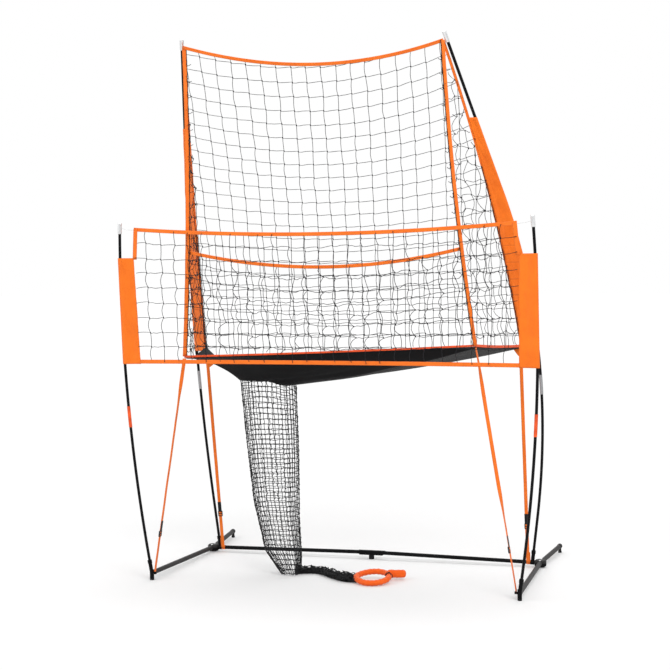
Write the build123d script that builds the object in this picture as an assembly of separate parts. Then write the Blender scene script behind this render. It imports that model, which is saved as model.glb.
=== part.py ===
from build123d import *
import os
from math import atan, cos, degrees, radians, sin

# Volleyball hitting station, in millimetres.
# +X to the right of the hitter, +Y away from the hitter, +Z up.
# The origin is the middle of the centre foot's face on the floor.

SIDES = {"left": -1, "right": 1}
RUN_CLEAR = 0.3            # between pieces of different moving bodies
FIT_CLEAR = 0.1            # radial, between a pole and what it plugs into

# base
BASE_WIDTH = 2370.0        # between the left and right feet
FRONT_REACH = 925.0        # crossbar axis to the front posts
REAR_REACH = 483.0         # crossbar axis to the rear feet
BAR_HEIGHT = 45.0          # axis of the legs at their feet and of the crossbar at its middle
HUB_HEIGHT = 30.0          # axis of legs and crossbar where they meet
HUB_INSET = 45.0           # the hub is this far inboard of the feet, so the legs splay
LEG_D = 30.0
CROSSBAR_D = 25.0
TUBE_WALL = 2.0
FOOT_PAD_H = 12.0          # rubber pad under each post
POST_D = 27.0
POST_TOP = 66.0
EYE = (19.0, 8.0, 14.0)    # lug on the post that holds the strap's ring
RING_BAR_D = 4.0
RING = (30.0, 12.0)        # ring's width along the strap's edge and its height, between bar axes
RING_REACH = 22.0          # inboard of the post's axis
REAR_STUB_D = 20.0
REAR_PAD_D = 24.0
CAP_WALL = 2.0
HUB_R = 39.0
HUB_FLOOR = 4.0            # clear of the floor
HUB_TOP = 50.0
HUB_RIM = (18.0, 39.0)     # heights where the clamp's straight side begins and ends
LEG_GAP = 12.0             # from the hub's centre to each leg's end
BAR_GAP = 17.0             # and to the crossbar's end
HUB_BOLT_REACH = 25.0      # bolt from the hub's centre, along the leg
HUB_BOLT_D = 8.0
HUB_BOLT_HEAD_D = 14.0
HUB_BOLT_HEAD_H = 5.0
HUB_BOLT_SUNK = 3.0        # seat of the bolt's head below the clamp's top
CHANNEL_TOP_L = 184.0      # centre hinge channel, longer at its top edge
CHANNEL_FLOOR_L = 158.0
CHANNEL_WALL = 3.0
CHANNEL_SLACK = 1.0        # lets the bar halves slope a little towards the hubs
CHANNEL_RISE = 24.0        # height of its cheeks beside the bar
HINGE_PIN_D = 8.0
HINGE_PIN_X = 48.0
PIN_HEAD_H = 2.0
BAR_SPLIT = 2.0            # gap between the two crossbar halves
CENTRE_FOOT_D = 36.0

# poles
POLE_D = 18.0
SOCKET_WALL = 3.0
FRONT_SOCKET_L = 84.0
MAIN_SOCKET_L = 78.0
SOCKET_LIP = 2.0           # thicker rim at a socket's mouth
SOCKET_LIP_L = 20.0
half = BASE_WIDTH / 2
MAIN_POLE_X = half - 97.0  # where the tall poles stand on the crossbar
MAIN_COLLAR_L = 22.0
MAIN_BEND_CORNER = (half + 77.0, -6.0, 1448.0)
MAIN_BEND_R = 3580.0
MAIN_TIP = (half - 371.0, -1108.0, 3348.0)
TIP_UNEVEN = 19.0          # the left tip stands this much higher, the right one lower
FRONT_POLE_MIDDLE = (half + 118.0, -FRONT_REACH - 37.0, 1160.0)
FRONT_POLE_TIP = (half + 115.0, -FRONT_REACH - 95.0, 2268.0)
TIP_CAP_L = 72.0
TIP_CAP_D = 26.0
TIP_CAP_END = 6.0          # solid end beyond the pole
TIP_CAP_ROUND = 7.8
MAIN_FERRULE = (1139.0, 1265.0)   # lowest and highest point of the metal ferrule
FRONT_BAND = (981.0, 1114.0)
FERRULE_WALL = 1.5

# soft goods
NET_T = 2.0
TAPE_T = 4.0
TAPE_W = 25.0
WEB_T = 2.0
CATCH_FRONT_FOOT = (half - 252.0, -906.0, 1468.0)  # front rim corner of the catch net
CATCH_FRONT_WAIST = (half - 343.0, 2370.0)         # front tape's X and Z at half height
CATCH_APEX = (half - 382.0, -1098.0, 3295.0)
BACK_FOOT = (half - 107.0, -220.0, 1455.0)         # rear rim corner
BACK_WAIST = (half - 234.0, -622.0, 2400.0)
RIM_UNEVEN = 40.0          # the rim's front corners: left lower, right higher by this
TOP_SAG = 122.0
LIP_END = (half - 324.0, 2081.0)
LIP_SAG = 99.0
SLEEVE_TOP = 2851.0
SLEEVE_EDGE_T = 5.0
SLEEVE_POLE_T = 28.0
FUNNEL_WALL = 6.0
OUTLET = (-510.0, -540.0, 1225.0)
OUTLET_SIZE = (350.0, 300.0)
CORNER_CUT = 60.0
OFF_FLOOR = 1.0            # the chute's lowest points clear the floor by this
CHUTE = (                  # centre, size and corner cut of the rings below its mouth
    ((-468.0, -550.0, 478.0), (298.0, 265.0), 45.0),
    ((-424.0, -560.0, 160.0), (244.0, 200.0), 45.0),
    ((-368.0, -565.0, OFF_FLOOR), (115.0, 130.0), 30.0))
FLOOR_RUN = (              # X, Y, half width and height of the collapsed end along the floor
    (-345.0, -545.0, 42.0, 46.0),
    (-205.0, -505.0, 36.0, 38.0),
    (-95.0, -590.0, 44.0, 42.0),
    (30.0, -668.0, 60.0, 44.0),
    (112.0, -675.0, 62.0, 40.0))
FLOOR_RUN_SHOULDER = (0.55, 0.45)  # where the bundle's rounded top and its sides begin
CUFF_CENTRE = (210.0, -675.0)
CUFF_R = 98.0
CUFF_D = 37.0
CUFF_TILT = 9.0            # its far side is lifted off the floor
CUFF_TAIL = (104.0, 40.0, 44.0)
CUFF_TAIL_RISE = 14.0
CUFF_TAIL_TURN = 12.0

# front net and its sleeves
NET_BOTTOM = 1399.0
NET_TOP = 2234.0
NET_HALF = FRONT_POLE_TIP[0] - 93.0
NET_WAIST_OUT = 7.0        # its side edges bow out by this at half height
NET_SAG = 46.0
NET_HEM_RISE = 14.0
FRONT_TAPE_W = 25.0
FRONT_HEM_W = 30.0
FRONT_SLEEVE = (1384.0, 2050.0)
FRONT_SLEEVE_TOP_X = NET_HALF + 15.0
POCKET_W = 40.0            # inner width of the sleeve's pole pocket
POCKET_DEPTH = 25.0
POCKET_WALL = 2.0
POCKET_R = 6.0
CORNER_CORD_D = 3.0

# straps and their adjusters
STRAP_W = 25.0
STRAP_TURN = (450.0, 600.0)  # heights between which the front straps turn a quarter
STRAP_LOOP_WALL = 2.0
REAR_LOOP_X = half - 123.0
BUCKLE_HEIGHT = {"front": 300.0, "rear": 275.0}
BUCKLE = (30.0, 38.0, 9.0)  # across, along and through the strap
BUCKLE_BAR = 6.0
BUCKLE_TAB_L = 66.0
BUCKLE_CLEAR = 0.5         # between the buckle and the webbing it slides on
BUCKLE_CORNER_R = 4.0

bar_r = CROSSBAR_D / 2
leg_r = LEG_D / 2
pole_r = POLE_D / 2
parts = {}


def loft_through(stations):
    """A solid through closed polygons, with straight rulings between them."""
    return Solid.make_loft([Wire.make_polygon(points, close=True) for points in stations], ruled=True)


def strip(stations):
    """A flat strap through (point, width vector, thickness vector) stations."""
    rings = []
    for point, wide, thick in stations:
        p, w, t = Vector(*point), Vector(*wide) / 2, Vector(*thick) / 2
        rings.append([p - w - t, p + w - t, p + w + t, p - w + t])
    return loft_through(rings)


def where_rising(value_at, target):
    """Parameter from 0 to 1 at which a value that only rises reaches its target."""
    low, high = 0.0, 1.0
    for _ in range(40):
        middle = (low + high) / 2
        if value_at(middle) < target:
            low = middle
        else:
            high = middle
    return low


def height_on(path, height):
    """Parameter of the path's point at this height."""
    return where_rising(lambda t: (path @ t).Z, height)


def rod(path, start, end, outer_r, inner_r=0.0):
    """A round bar or tube along part of a path."""
    span = path.trim(start, end)
    plane = Plane(origin=span @ 0, z_dir=span % 0)
    section = plane * Circle(outer_r)
    if inner_r:
        section -= plane * Circle(inner_r)
    return sweep(section, path=span)


def between(start, end, radius):
    """A round bar from one point to another."""
    start, end = Vector(*start), Vector(*end)
    return Plane(origin=start, z_dir=end - start) * Cylinder(
        radius, (end - start).length, align=(Align.CENTER, Align.CENTER, Align.MIN))


def upright(x, y, z_from, z_to, radius):
    return between((x, y, z_from), (x, y, z_to), radius)


def biggest(shape):
    """Its largest solid, without the slivers that a cut leaves."""
    return max(shape.solids(), key=lambda solid: solid.volume)


def group(solids):
    """Several solids as one node."""
    return Compound(children=[Part(solid.wrapped) for solid in solids])


def mirrored(build):
    """Both hands of a piece that is built on the right."""
    right = build()
    return {"left": mirror(right, about=Plane.YZ), "right": right}


# ---------------------------------------------------------------- base lines
hub = Vector(half - HUB_INSET, 0, HUB_HEIGHT)
post = Vector(half, -FRONT_REACH, BAR_HEIGHT)
heel = Vector(half, REAR_REACH, BAR_HEIGHT)
pin = Vector(HINGE_PIN_X, 0, BAR_HEIGHT)
front_run = (post - hub).normalized()
rear_run = (heel - hub).normalized()
bar_run = (hub - pin).normalized()
main_foot_z = pin.Z + (hub.Z - pin.Z) * (MAIN_POLE_X - pin.X) / (hub.X - pin.X)


# ---------------------------------------------------------------- pole lines
def main_pole_path(side):
    foot = (side * MAIN_POLE_X, 0, main_foot_z)
    corner = (side * MAIN_BEND_CORNER[0], *MAIN_BEND_CORNER[1:])
    tip = (side * MAIN_TIP[0], MAIN_TIP[1], MAIN_TIP[2] - side * TIP_UNEVEN)
    return FilletPolyline(foot, corner, tip, radius=MAIN_BEND_R)


def front_pole_path(side):
    foot = (side * half, -FRONT_REACH, BAR_HEIGHT)
    middle = (side * FRONT_POLE_MIDDLE[0], *FRONT_POLE_MIDDLE[1:])
    tip = (side * FRONT_POLE_TIP[0], *FRONT_POLE_TIP[1:])
    return ThreePointArc(foot, middle, tip)


main_path = {name: main_pole_path(side) for name, side in SIDES.items()}
front_path = {name: front_pole_path(side) for name, side in SIDES.items()}
pole_bore_r = pole_r + FIT_CLEAR
socket_r = pole_bore_r + SOCKET_WALL


def pole_socket(path, length):
    """Tube along the foot of a pole's path, with a thicker mouth; the pole's seat is open."""
    end = length / path.length
    lip = end - SOCKET_LIP_L / path.length
    body = rod(path, 0, end, socket_r)
    return body + rod(path, lip, end, socket_r + SOCKET_LIP)


# ---------------------------------------------------------------------- base
foot_tube_front = -FRONT_REACH
def hub_bolt_places():
    return [hub + run * HUB_BOLT_REACH for run in (front_run, rear_run)]


def leg(run, end):
    """Tube from the hub out to a foot, drilled for its hub bolt."""
    start = hub + run * LEG_GAP
    tube = between(start, end, leg_r) - between(start, end, leg_r - TUBE_WALL)
    for place in hub_bolt_places():
        tube -= upright(place.X, place.Y, 0, 2 * BAR_HEIGHT, HUB_BOLT_D / 2)
    return tube


def front_leg():
    """Butts against the post and the lug on it."""
    return biggest(leg(front_run, post) - front_post())


def rear_leg():
    return leg(rear_run, heel - rear_run * REAR_STUB_D)


def eye_lug():
    """Lug on the inboard side of the post, with a hole along Y for the ring."""
    across, along, tall = EYE
    start = post - Vector(POST_D / 2 + across - 2, 0, 0)
    lug = Pos(*start) * Box(across, along, tall, align=(Align.MIN, Align.CENTER, Align.CENTER))
    low = post - Vector(RING_REACH, 0, 0)
    return lug - between(low - Vector(0, along, 0), low + Vector(0, along, 0), RING_BAR_D / 2 + FIT_CLEAR)


def front_post():
    return upright(post.X, post.Y, FOOT_PAD_H, POST_TOP, POST_D / 2) + eye_lug()


def front_socket():
    path = front_path["right"]
    body = front_post() + pole_socket(path, FRONT_SOCKET_L)
    seat = (POST_TOP - BAR_HEIGHT) / path.length
    return body - rod(path, seat, FRONT_SOCKET_L / path.length, pole_bore_r)


def strap_ring():
    """Rectangular ring of round bar through the post's lug."""
    wide, tall = RING
    low = post - Vector(RING_REACH, 0, 0)
    corners = [low + Vector(0, y, z) for y, z in
               ((-wide / 2, 0), (wide / 2, 0), (wide / 2, tall), (-wide / 2, tall))]
    ring = None
    for index, corner in enumerate(corners):
        limb = between(corner, corners[(index + 1) % 4], RING_BAR_D / 2)
        limb += Pos(*corner) * Sphere(RING_BAR_D / 2)
        ring = limb if ring is None else ring + limb
    return ring


def rear_cap():
    neck = heel - rear_run * REAR_STUB_D
    cap = between(neck, heel, leg_r + CAP_WALL)
    cap += Pos(*heel) * Sphere(leg_r + CAP_WALL)
    cap += upright(heel.X, heel.Y, FOOT_PAD_H, BAR_HEIGHT, REAR_STUB_D / 2)
    return cap + between(neck - rear_run * LEG_D, neck, leg_r - TUBE_WALL - FIT_CLEAR)


def rubber_feet():
    feet = []
    for side in SIDES.values():
        for y, diameter in ((-FRONT_REACH, POST_D), (REAR_REACH, REAR_PAD_D)):
            pad = upright(side * half, y, 0, FOOT_PAD_H, diameter / 2)
            feet.append(chamfer(pad.edges().group_by(Axis.Z)[0], 1.5))
    centre = upright(0, 0, 0, channel_floor, CENTRE_FOOT_D / 2)
    feet.append(chamfer(centre.edges().group_by(Axis.Z)[0], 2.0))
    return group(feet)


channel_floor = BAR_HEIGHT - bar_r - CHANNEL_WALL - CHANNEL_SLACK
bolt_seat = HUB_TOP - HUB_BOLT_SUNK


def hub_seats():
    """The three tubes in the hub, with a little clearance, and its bolts."""
    seats = between(hub, hub + front_run * 2 * HUB_R, leg_r + FIT_CLEAR)
    seats += between(hub, hub + rear_run * 2 * HUB_R, leg_r + FIT_CLEAR)
    seats += between(hub - bar_run * BAR_GAP, hub - bar_run * 2 * HUB_R, bar_r + FIT_CLEAR)
    for place in hub_bolt_places():
        seats += upright(place.X, place.Y, 0, bolt_seat, HUB_BOLT_D / 2)
        seats += upright(place.X, place.Y, bolt_seat, 2 * HUB_TOP, HUB_BOLT_HEAD_D / 2 + 1)
    return seats


def clamp_half(edge, far, seam):
    """One half of the hub clamp, turned about its upright axis, with half-round seats for the tubes."""
    shoulder = (HUB_R * 0.88, far + (edge - far) * 0.3)
    outline = Plane.XZ * make_face([
        Line((0, seam), (HUB_R, seam)), Line((HUB_R, seam), (HUB_R, edge)),
        ThreePointArc((HUB_R, edge), shoulder, (HUB_R * 0.6, far)),
        Line((HUB_R * 0.6, far), (0, far)), Line((0, far), (0, seam))])
    return biggest(Pos(hub.X, 0, 0) * revolve(outline, Axis.Z) - hub_seats())


def hub_dish():
    return clamp_half(HUB_RIM[0], HUB_FLOOR, HUB_HEIGHT - RUN_CLEAR / 2)


def hub_plate():
    return clamp_half(HUB_RIM[1], HUB_TOP, HUB_HEIGHT + RUN_CLEAR / 2)


def hub_bolts():
    """Two bolts with domed heads in each hub; a leg turns about its bolt when the base folds."""
    bolts = []
    for side in SIDES.values():
        for place in hub_bolt_places():
            x, y = side * place.X, place.Y
            shank = upright(x, y, HUB_FLOOR, bolt_seat, HUB_BOLT_D / 2 - FIT_CLEAR)
            head = upright(x, y, bolt_seat, bolt_seat + HUB_BOLT_HEAD_H, HUB_BOLT_HEAD_D / 2)
            head = fillet(head.edges().group_by(Axis.Z)[-1], HUB_BOLT_HEAD_H / 2)
            bolts.append(shank + head)
    return group(bolts)


def across(x, reach, radius):
    """A round bar along Y through the crossbar's hinge line."""
    return between((x, -reach, BAR_HEIGHT), (x, reach, BAR_HEIGHT), radius)


def crossbar():
    inner, outer = pin - bar_run * (HINGE_PIN_X - BAR_SPLIT / 2), hub - bar_run * BAR_GAP
    bar = between(inner, outer, bar_r) - between(inner, outer, bar_r - TUBE_WALL)
    return bar - across(HINGE_PIN_X, CROSSBAR_D, HINGE_PIN_D / 2)


def centre_channel():
    """Channel that the two crossbar halves hinge in; it keeps them level when open."""
    top, floor = CHANNEL_TOP_L / 2, CHANNEL_FLOOR_L / 2
    high = channel_floor + CHANNEL_WALL + CHANNEL_SLACK + CHANNEL_RISE
    outline = Plane.XZ * make_face(Polyline(
        (-floor, channel_floor), (floor, channel_floor), (top, high - CHANNEL_RISE / 2),
        (top, high), (-top, high), (-top, high - CHANNEL_RISE / 2), close=True))
    cheek_out = bar_r + FIT_CLEAR + CHANNEL_WALL
    block = extrude(outline, amount=cheek_out, both=True)
    hollow = Box(2 * CHANNEL_TOP_L, 2 * (bar_r + FIT_CLEAR), 2 * CHANNEL_RISE,
                 align=(Align.CENTER, Align.CENTER, Align.MIN))
    channel = block - Pos(0, 0, channel_floor + CHANNEL_WALL) * hollow
    for side in SIDES.values():
        channel -= across(side * HINGE_PIN_X, cheek_out, HINGE_PIN_D / 2)
    return channel


def hinge_pins():
    reach = bar_r + FIT_CLEAR + CHANNEL_WALL
    pins = []
    for side in SIDES.values():
        x = side * HINGE_PIN_X
        rivet = across(x, reach, HINGE_PIN_D / 2 - FIT_CLEAR)
        for y, out in ((-reach, -reach - PIN_HEAD_H), (reach, reach + PIN_HEAD_H)):
            rivet += between((x, y, BAR_HEIGHT), (x, out, BAR_HEIGHT), HINGE_PIN_D * 0.75)
        pins.append(rivet)
    return group(pins)


def main_socket():
    path = main_path["right"]
    foot = path @ 0
    reach = bar_run * MAIN_COLLAR_L / 2
    body = between(foot - reach, foot + reach, bar_r + SOCKET_WALL) + pole_socket(path, MAIN_SOCKET_L)
    seat = (bar_r + SOCKET_WALL) / path.length
    body -= rod(path, seat, MAIN_SOCKET_L / path.length, pole_bore_r)
    return body - between(foot - 2 * reach, foot + 2 * reach, bar_r)


for name, builds in (("foot_tube", (front_leg, rear_leg)), ("front_socket", (front_socket, strap_ring)),
                     ("rear_cap", (rear_cap,)), ("hub_dish", (hub_dish,)), ("hub_plate", (hub_plate,)),
                     ("crossbar", (crossbar,)), ("main_socket", (main_socket,))):
    hands = [mirrored(build) for build in builds]
    for hand in SIDES:
        solids = [pair[hand] for pair in hands]
        parts[name + "_" + hand] = solids[0] if len(solids) == 1 else group(solids)
parts["rubber_feet"] = rubber_feet()
parts["hub_bolts"] = hub_bolts()
parts["centre_channel"] = centre_channel()
parts["hinge_pins"] = hinge_pins()


# --------------------------------------------------------------------- poles
def tip_cap(path):
    """Long cap over the end of a pole, rounded at its top."""
    end = path @ 1
    plane = Plane(origin=end + (path % 1) * TIP_CAP_END, z_dir=-(path % 1))
    cap = plane * Cylinder(TIP_CAP_D / 2, TIP_CAP_L, align=(Align.CENTER, Align.CENTER, Align.MIN))
    top = cap.edges().sort_by(lambda edge: edge.center().Z)[-1]
    cap = fillet(top, TIP_CAP_ROUND)
    start = height_on(path, end.Z - 2 * TIP_CAP_L)
    return cap - rod(path, start, 1, pole_bore_r)


front_bands, main_ferrules, front_tips, main_tips = [], [], [], []
for hand, side in SIDES.items():
    path = front_path[hand]
    seat = (POST_TOP - BAR_HEIGHT) / path.length
    joint = height_on(path, sum(FRONT_BAND) / 2)
    parts["front_pole_lower_" + hand] = rod(path, seat, joint, pole_r)
    parts["front_pole_upper_" + hand] = rod(path, joint, 1, pole_r)
    ends = [height_on(path, height) for height in FRONT_BAND]
    front_bands.append(rod(path, *ends, pole_bore_r + FERRULE_WALL, pole_bore_r))
    front_tips.append(tip_cap(path))

    path = main_path[hand]
    seat = (bar_r + SOCKET_WALL) / path.length
    joint = height_on(path, sum(MAIN_FERRULE) / 2)
    parts["main_pole_lower_" + hand] = rod(path, seat, joint, pole_r)
    parts["main_pole_upper_" + hand] = rod(path, joint, 1, pole_r)
    ends = [height_on(path, height) for height in MAIN_FERRULE]
    main_ferrules.append(rod(path, *ends, pole_bore_r + FERRULE_WALL, pole_bore_r))
    main_tips.append(tip_cap(path))


parts["front_pole_bands"] = group(front_bands)
parts["main_pole_ferrules"] = group(main_ferrules)
parts["front_pole_tips"] = group(front_tips)
parts["main_pole_tips"] = group(main_tips)

# ----------------------------------------------------------------- catch net
rim_cross = RIM_UNEVEN / CATCH_FRONT_FOOT[0]
rim_rise = (BACK_FOOT[2] - CATCH_FRONT_FOOT[2]) / (BACK_FOOT[1] - CATCH_FRONT_FOOT[1])


def rim_point(side, corner, drop=0.0):
    """A rim corner, on the rim's tilted plane."""
    x, y = side * corner[0], corner[1]
    z = CATCH_FRONT_FOOT[2] + rim_cross * x + rim_rise * (y - CATCH_FRONT_FOOT[1])
    return Vector(x, y, z - drop)


rim = {}
for hand, side in SIDES.items():
    rim["front", hand] = rim_point(side, CATCH_FRONT_FOOT)
    rim["back", hand] = rim_point(side, BACK_FOOT)
    rim["apex", hand] = Vector(side * CATCH_APEX[0], CATCH_APEX[1], CATCH_APEX[2] - side * TIP_UNEVEN)

front_slope = atan((CATCH_FRONT_FOOT[1] - CATCH_APEX[1]) / (CATCH_APEX[2] - CATCH_FRONT_FOOT[2]))
front_face = Plane(origin=CATCH_FRONT_FOOT, x_dir=(1, 0, 0),
                   z_dir=(0, -cos(front_slope), -sin(front_slope)))


def on_front(x, z):
    """Place on the catch net's leaning front face, given X and height."""
    return (x - CATCH_FRONT_FOOT[0], (z - CATCH_FRONT_FOOT[2]) / cos(front_slope))


def front_y(z):
    return CATCH_FRONT_FOOT[1] - (z - CATCH_FRONT_FOOT[2]) * sin(front_slope) / cos(front_slope)


def front_edge(hand):
    side = SIDES[hand]
    foot, apex = rim["front", hand], rim["apex", hand]
    return [(foot.X, foot.Z), (side * CATCH_FRONT_WAIST[0], CATCH_FRONT_WAIST[1]), (apex.X, apex.Z)]


def back_edge(hand):
    side = SIDES[hand]
    foot, apex = rim["back", hand], rim["apex", hand]
    return [(foot.X, foot.Z), (side * BACK_WAIST[0], BACK_WAIST[2]), (apex.X, apex.Z)]


def arc_x(points, z):
    """X at a height on the arc through three (X, Z) points."""
    arc = ThreePointArc(*points)
    return (arc @ where_rising(lambda t: (arc @ t).Y, z)).X


back_profile = ThreePointArc((BACK_FOOT[1], BACK_FOOT[2]), (BACK_WAIST[1], BACK_WAIST[2]),
                             (CATCH_APEX[1], CATCH_APEX[2]))


def back_y(z):
    """Depth of the back net's surface at a height, straight on past its two ends."""
    start, end = back_profile @ 0, back_profile @ 1
    if z <= start.Y:
        tangent = back_profile % 0
        return start.X + (z - start.Y) * tangent.X / tangent.Y
    if z >= end.Y:
        tangent = back_profile % 1
        return end.X + (z - end.Y) * tangent.X / tangent.Y
    return (back_profile @ where_rising(lambda t: (back_profile @ t).Y, z)).X


def back_sheet(thickness):
    """The back net's curved surface as a thick sheet, wide enough to cut pieces from."""
    margin = 150.0
    low, high = BACK_FOOT[2] - margin, CATCH_APEX[2] + margin
    skin = thickness / 2
    front = [(back_y(low) - skin, low), (BACK_FOOT[1] - skin, BACK_FOOT[2]),
             (BACK_WAIST[1] - skin, BACK_WAIST[2]), (CATCH_APEX[1] - skin, CATCH_APEX[2]),
             (back_y(high) - skin, high)]
    back = [(y + thickness, z) for y, z in front]
    profile = Plane.YZ * make_face([
        Line(front[0], front[1]), ThreePointArc(*front[1:4]), Line(front[3], front[4]),
        Line(front[4], back[4]),
        Line(back[4], back[3]), ThreePointArc(back[3], back[2], back[1]), Line(back[1], back[0]),
        Line(back[0], front[0])])
    return extrude(profile, amount=half, both=True)


def between_edges(left, right, top, bottom=None):
    """Face between two side arcs and a sagging top arc; its bottom is straight or an arc."""
    base = ThreePointArc(right[0], bottom, left[0]) if bottom else Line(right[0], left[0])
    return make_face([ThreePointArc(*left), ThreePointArc(left[2], top, right[2]),
                      ThreePointArc(right[2], right[1], right[0]), base])


def band(start, middle, end, width, shift):
    """Face of a tape along an arc; its two edges are the arc moved both ways by half its width."""
    dx, dz = shift[0] * width / 2, shift[1] * width / 2
    low = [(x - dx, z - dz) for x, z in (start, middle, end)]
    high = [(x + dx, z + dz) for x, z in (start, middle, end)]
    return make_face([ThreePointArc(*low), Line(low[2], high[2]),
                      ThreePointArc(high[2], high[1], high[0]), Line(high[0], low[0])])


def middle_of(a, b, drop=0.0):
    return ((a[0] + b[0]) / 2, (a[1] + b[1]) / 2 - drop)


def rim_tape():
    """Tape hem round the funnel's mouth, upright on its edge."""
    corners = [rim["front", "left"], rim["front", "right"], rim["back", "right"], rim["back", "left"]]
    hem = None
    for index, start in enumerate(corners):
        end = corners[(index + 1) % 4]
        run = (end - start).normalized()
        thick = run.cross(Vector(0, 0, 1)).normalized() * TAPE_T
        piece = strip([(start - run * TAPE_T / 2, (0, 0, TAPE_W), thick),
                       (end + run * TAPE_T / 2, (0, 0, TAPE_W), thick)])
        hem = piece if hem is None else hem + piece
    return hem


def edge_station(hand, z):
    """Thin rectangle at one height, from the front tape to the back edge."""
    a = Vector(arc_x(front_edge(hand), z), front_y(z), z)
    b = Vector(arc_x(back_edge(hand), z), back_y(z), z)
    normal = (b - a).normalized().cross(Vector(0, 0, 1)) * NET_T / 2
    return [a - normal, b - normal, b + normal, a + normal]


def side_net(hand):
    low = max(rim["front", hand].Z, rim["back", hand].Z)
    high = rim["apex", hand].Z - 2 * TAPE_W
    levels = [low + (high - low) * step / 5 for step in range(6)]
    return loft_through([edge_station(hand, z) for z in levels])


def main_sleeve(hand):
    """Fabric sleeve round the tall pole, running out flat to the net's back edge."""
    path = main_path[hand]
    low = rim["back", hand].Z + TAPE_W / 2
    stations = []
    for step in range(6):
        z = low + (SLEEVE_TOP - low) * step / 5
        pole = path @ height_on(path, z)
        edge = Vector(arc_x(back_edge(hand), z), back_y(z), z)
        out = Vector(pole.X - edge.X, pole.Y - edge.Y, 0).normalized()
        normal = out.cross(Vector(0, 0, 1))
        tip = pole + out * SLEEVE_POLE_T / 2
        stations.append([edge - normal * SLEEVE_EDGE_T / 2, tip - normal * SLEEVE_POLE_T / 2,
                         tip + normal * SLEEVE_POLE_T / 2, edge + normal * SLEEVE_EDGE_T / 2])
    start, end = height_on(path, low - TAPE_W), height_on(path, SLEEVE_TOP + TAPE_W)
    return loft_through(stations) - rod(path, start, end, pole_bore_r) - hem


hem = rim_tape()
parts["rim_tape"] = hem
tape_slab = back_sheet(TAPE_T)
net_slab = back_sheet(NET_T)
edges = (back_edge("left"), back_edge("right"))
top_ends = edges[0][2], edges[1][2]
top_middle = middle_of(*top_ends, drop=TOP_SAG)


def cut_from_back(face, slab):
    return slab & extrude(Plane.XZ * face, amount=2 * half, both=True)


top_tape = cut_from_back(band(top_ends[0], top_middle, top_ends[1], TAPE_W, (0, 1)), tape_slab)
sleeves = {hand: main_sleeve(hand) for hand in SIDES}
edge_tapes, side_nets = {}, {}


def edge_tape(hand, width, thickness):
    face = band(*[on_front(*point) for point in front_edge(hand)], width, (1, 0))
    return extrude(front_face * face, amount=thickness / 2, both=True)


for hand in SIDES:
    edge_tapes[hand] = edge_tape(hand, TAPE_W, TAPE_T) - hem - top_tape
    side_nets[hand] = side_net(hand) - edge_tapes[hand] - sleeves[hand] - hem - top_tape
    parts["side_net_" + hand] = side_nets[hand]
    parts["main_sleeve_" + hand] = sleeves[hand]
    parts["edge_tape_" + hand] = edge_tapes[hand]

back_face = between_edges(*edges, top_middle)
back_net = cut_from_back(back_face, net_slab)
for piece in (top_tape, hem, *sleeves.values(), *side_nets.values(), *edge_tapes.values()):
    back_net -= piece
parts["back_net"] = biggest(back_net)
parts["top_tape"] = top_tape

lip_points = [(-LIP_END[0], LIP_END[1]), (0, LIP_END[1] - LIP_SAG), (LIP_END[0], LIP_END[1])]
lip_face = band(*[on_front(*point) for point in lip_points], TAPE_W, (0, 1))
lip_tape = extrude(front_face * lip_face, amount=TAPE_T / 2, both=True)
for tape in edge_tapes.values():
    lip_tape -= tape
parts["lip_tape"] = biggest(lip_tape)


def lower_net():
    """Net panel between the lip tape and the rim, on the leaning front face."""
    left = [on_front(*point) for point in front_edge("left")]
    right = [on_front(*point) for point in front_edge("right")]
    whole = between_edges(left, right, middle_of(left[2], right[2], drop=TOP_SAG))
    low, mid, high = [on_front(*point) for point in lip_points]
    drop = on_front(0, rim["front", "left"].Z - TAPE_W)[1]
    below = make_face([ThreePointArc(low, mid, high), Line(high, (high[0], drop)),
                       Line((high[0], drop), (low[0], drop)), Line((low[0], drop), low)])
    panel = extrude(front_face * (whole & below), amount=NET_T / 2, both=True)
    for hand in SIDES:
        panel -= edge_tape(hand, TAPE_W + 2 * RUN_CLEAR, TAPE_T)
    for piece in (hem, lip_tape, *side_nets.values()):
        panel -= piece
    return biggest(panel)


parts["lower_net"] = lower_net()


# ---------------------------------------------------------- funnel and chute
def cut_corners(corners, cut):
    """Eight points: each corner of a four-sided outline cut back by the same length."""
    points = []
    for index, corner in enumerate(corners):
        for other in (corners[index - 1], corners[(index + 1) % 4]):
            points.append(corner + (other - corner).normalized() * cut)
    return points


def rectangle_at(centre, size):
    half_x, half_y = size[0] / 2, size[1] / 2
    return [Vector(*centre) + Vector(dx, dy, 0) for dx, dy in
            ((-half_x, -half_y), (half_x, -half_y), (half_x, half_y), (-half_x, half_y))]


def inset(points, wall):
    centre = sum(points, Vector(0, 0, 0)) / len(points)
    return [point + (centre - point).normalized() * wall for point in points]


def tube_through(rings, wall, overrun):
    """A thin-walled tube through rings of points, open at both ends."""
    inner = [inset(ring, wall) for ring in rings]
    first = [a + (a - b).normalized() * overrun for a, b in zip(inner[0], inner[1])]
    last = [a + (a - b).normalized() * overrun for a, b in zip(inner[-1], inner[-2])]
    return loft_through(rings) - loft_through([first, *inner[1:-1], last])


rim_below = TAPE_W / 2
mouth = [rim["front", "left"], rim["front", "right"], rim["back", "right"], rim["back", "left"]]
mouth_ring = cut_corners([corner - Vector(0, 0, rim_below) for corner in mouth], CORNER_CUT)
outlet_ring = cut_corners(rectangle_at(OUTLET, OUTLET_SIZE), CORNER_CUT)


def funnel():
    """Fabric hopper under the rim; its wall is measured straight up and down."""
    rise = Vector(0, 0, FUNNEL_WALL)
    outer = loft_through([mouth_ring, outlet_ring])
    hollow = loft_through([[point + rise for point in ring] for ring in (mouth_ring, outlet_ring)])
    throat = inset(outlet_ring, TAPE_T)
    neck = loft_through([[point - rise for point in throat], [point + 4 * rise for point in throat]])
    return outer - hollow - neck - hem


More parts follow.
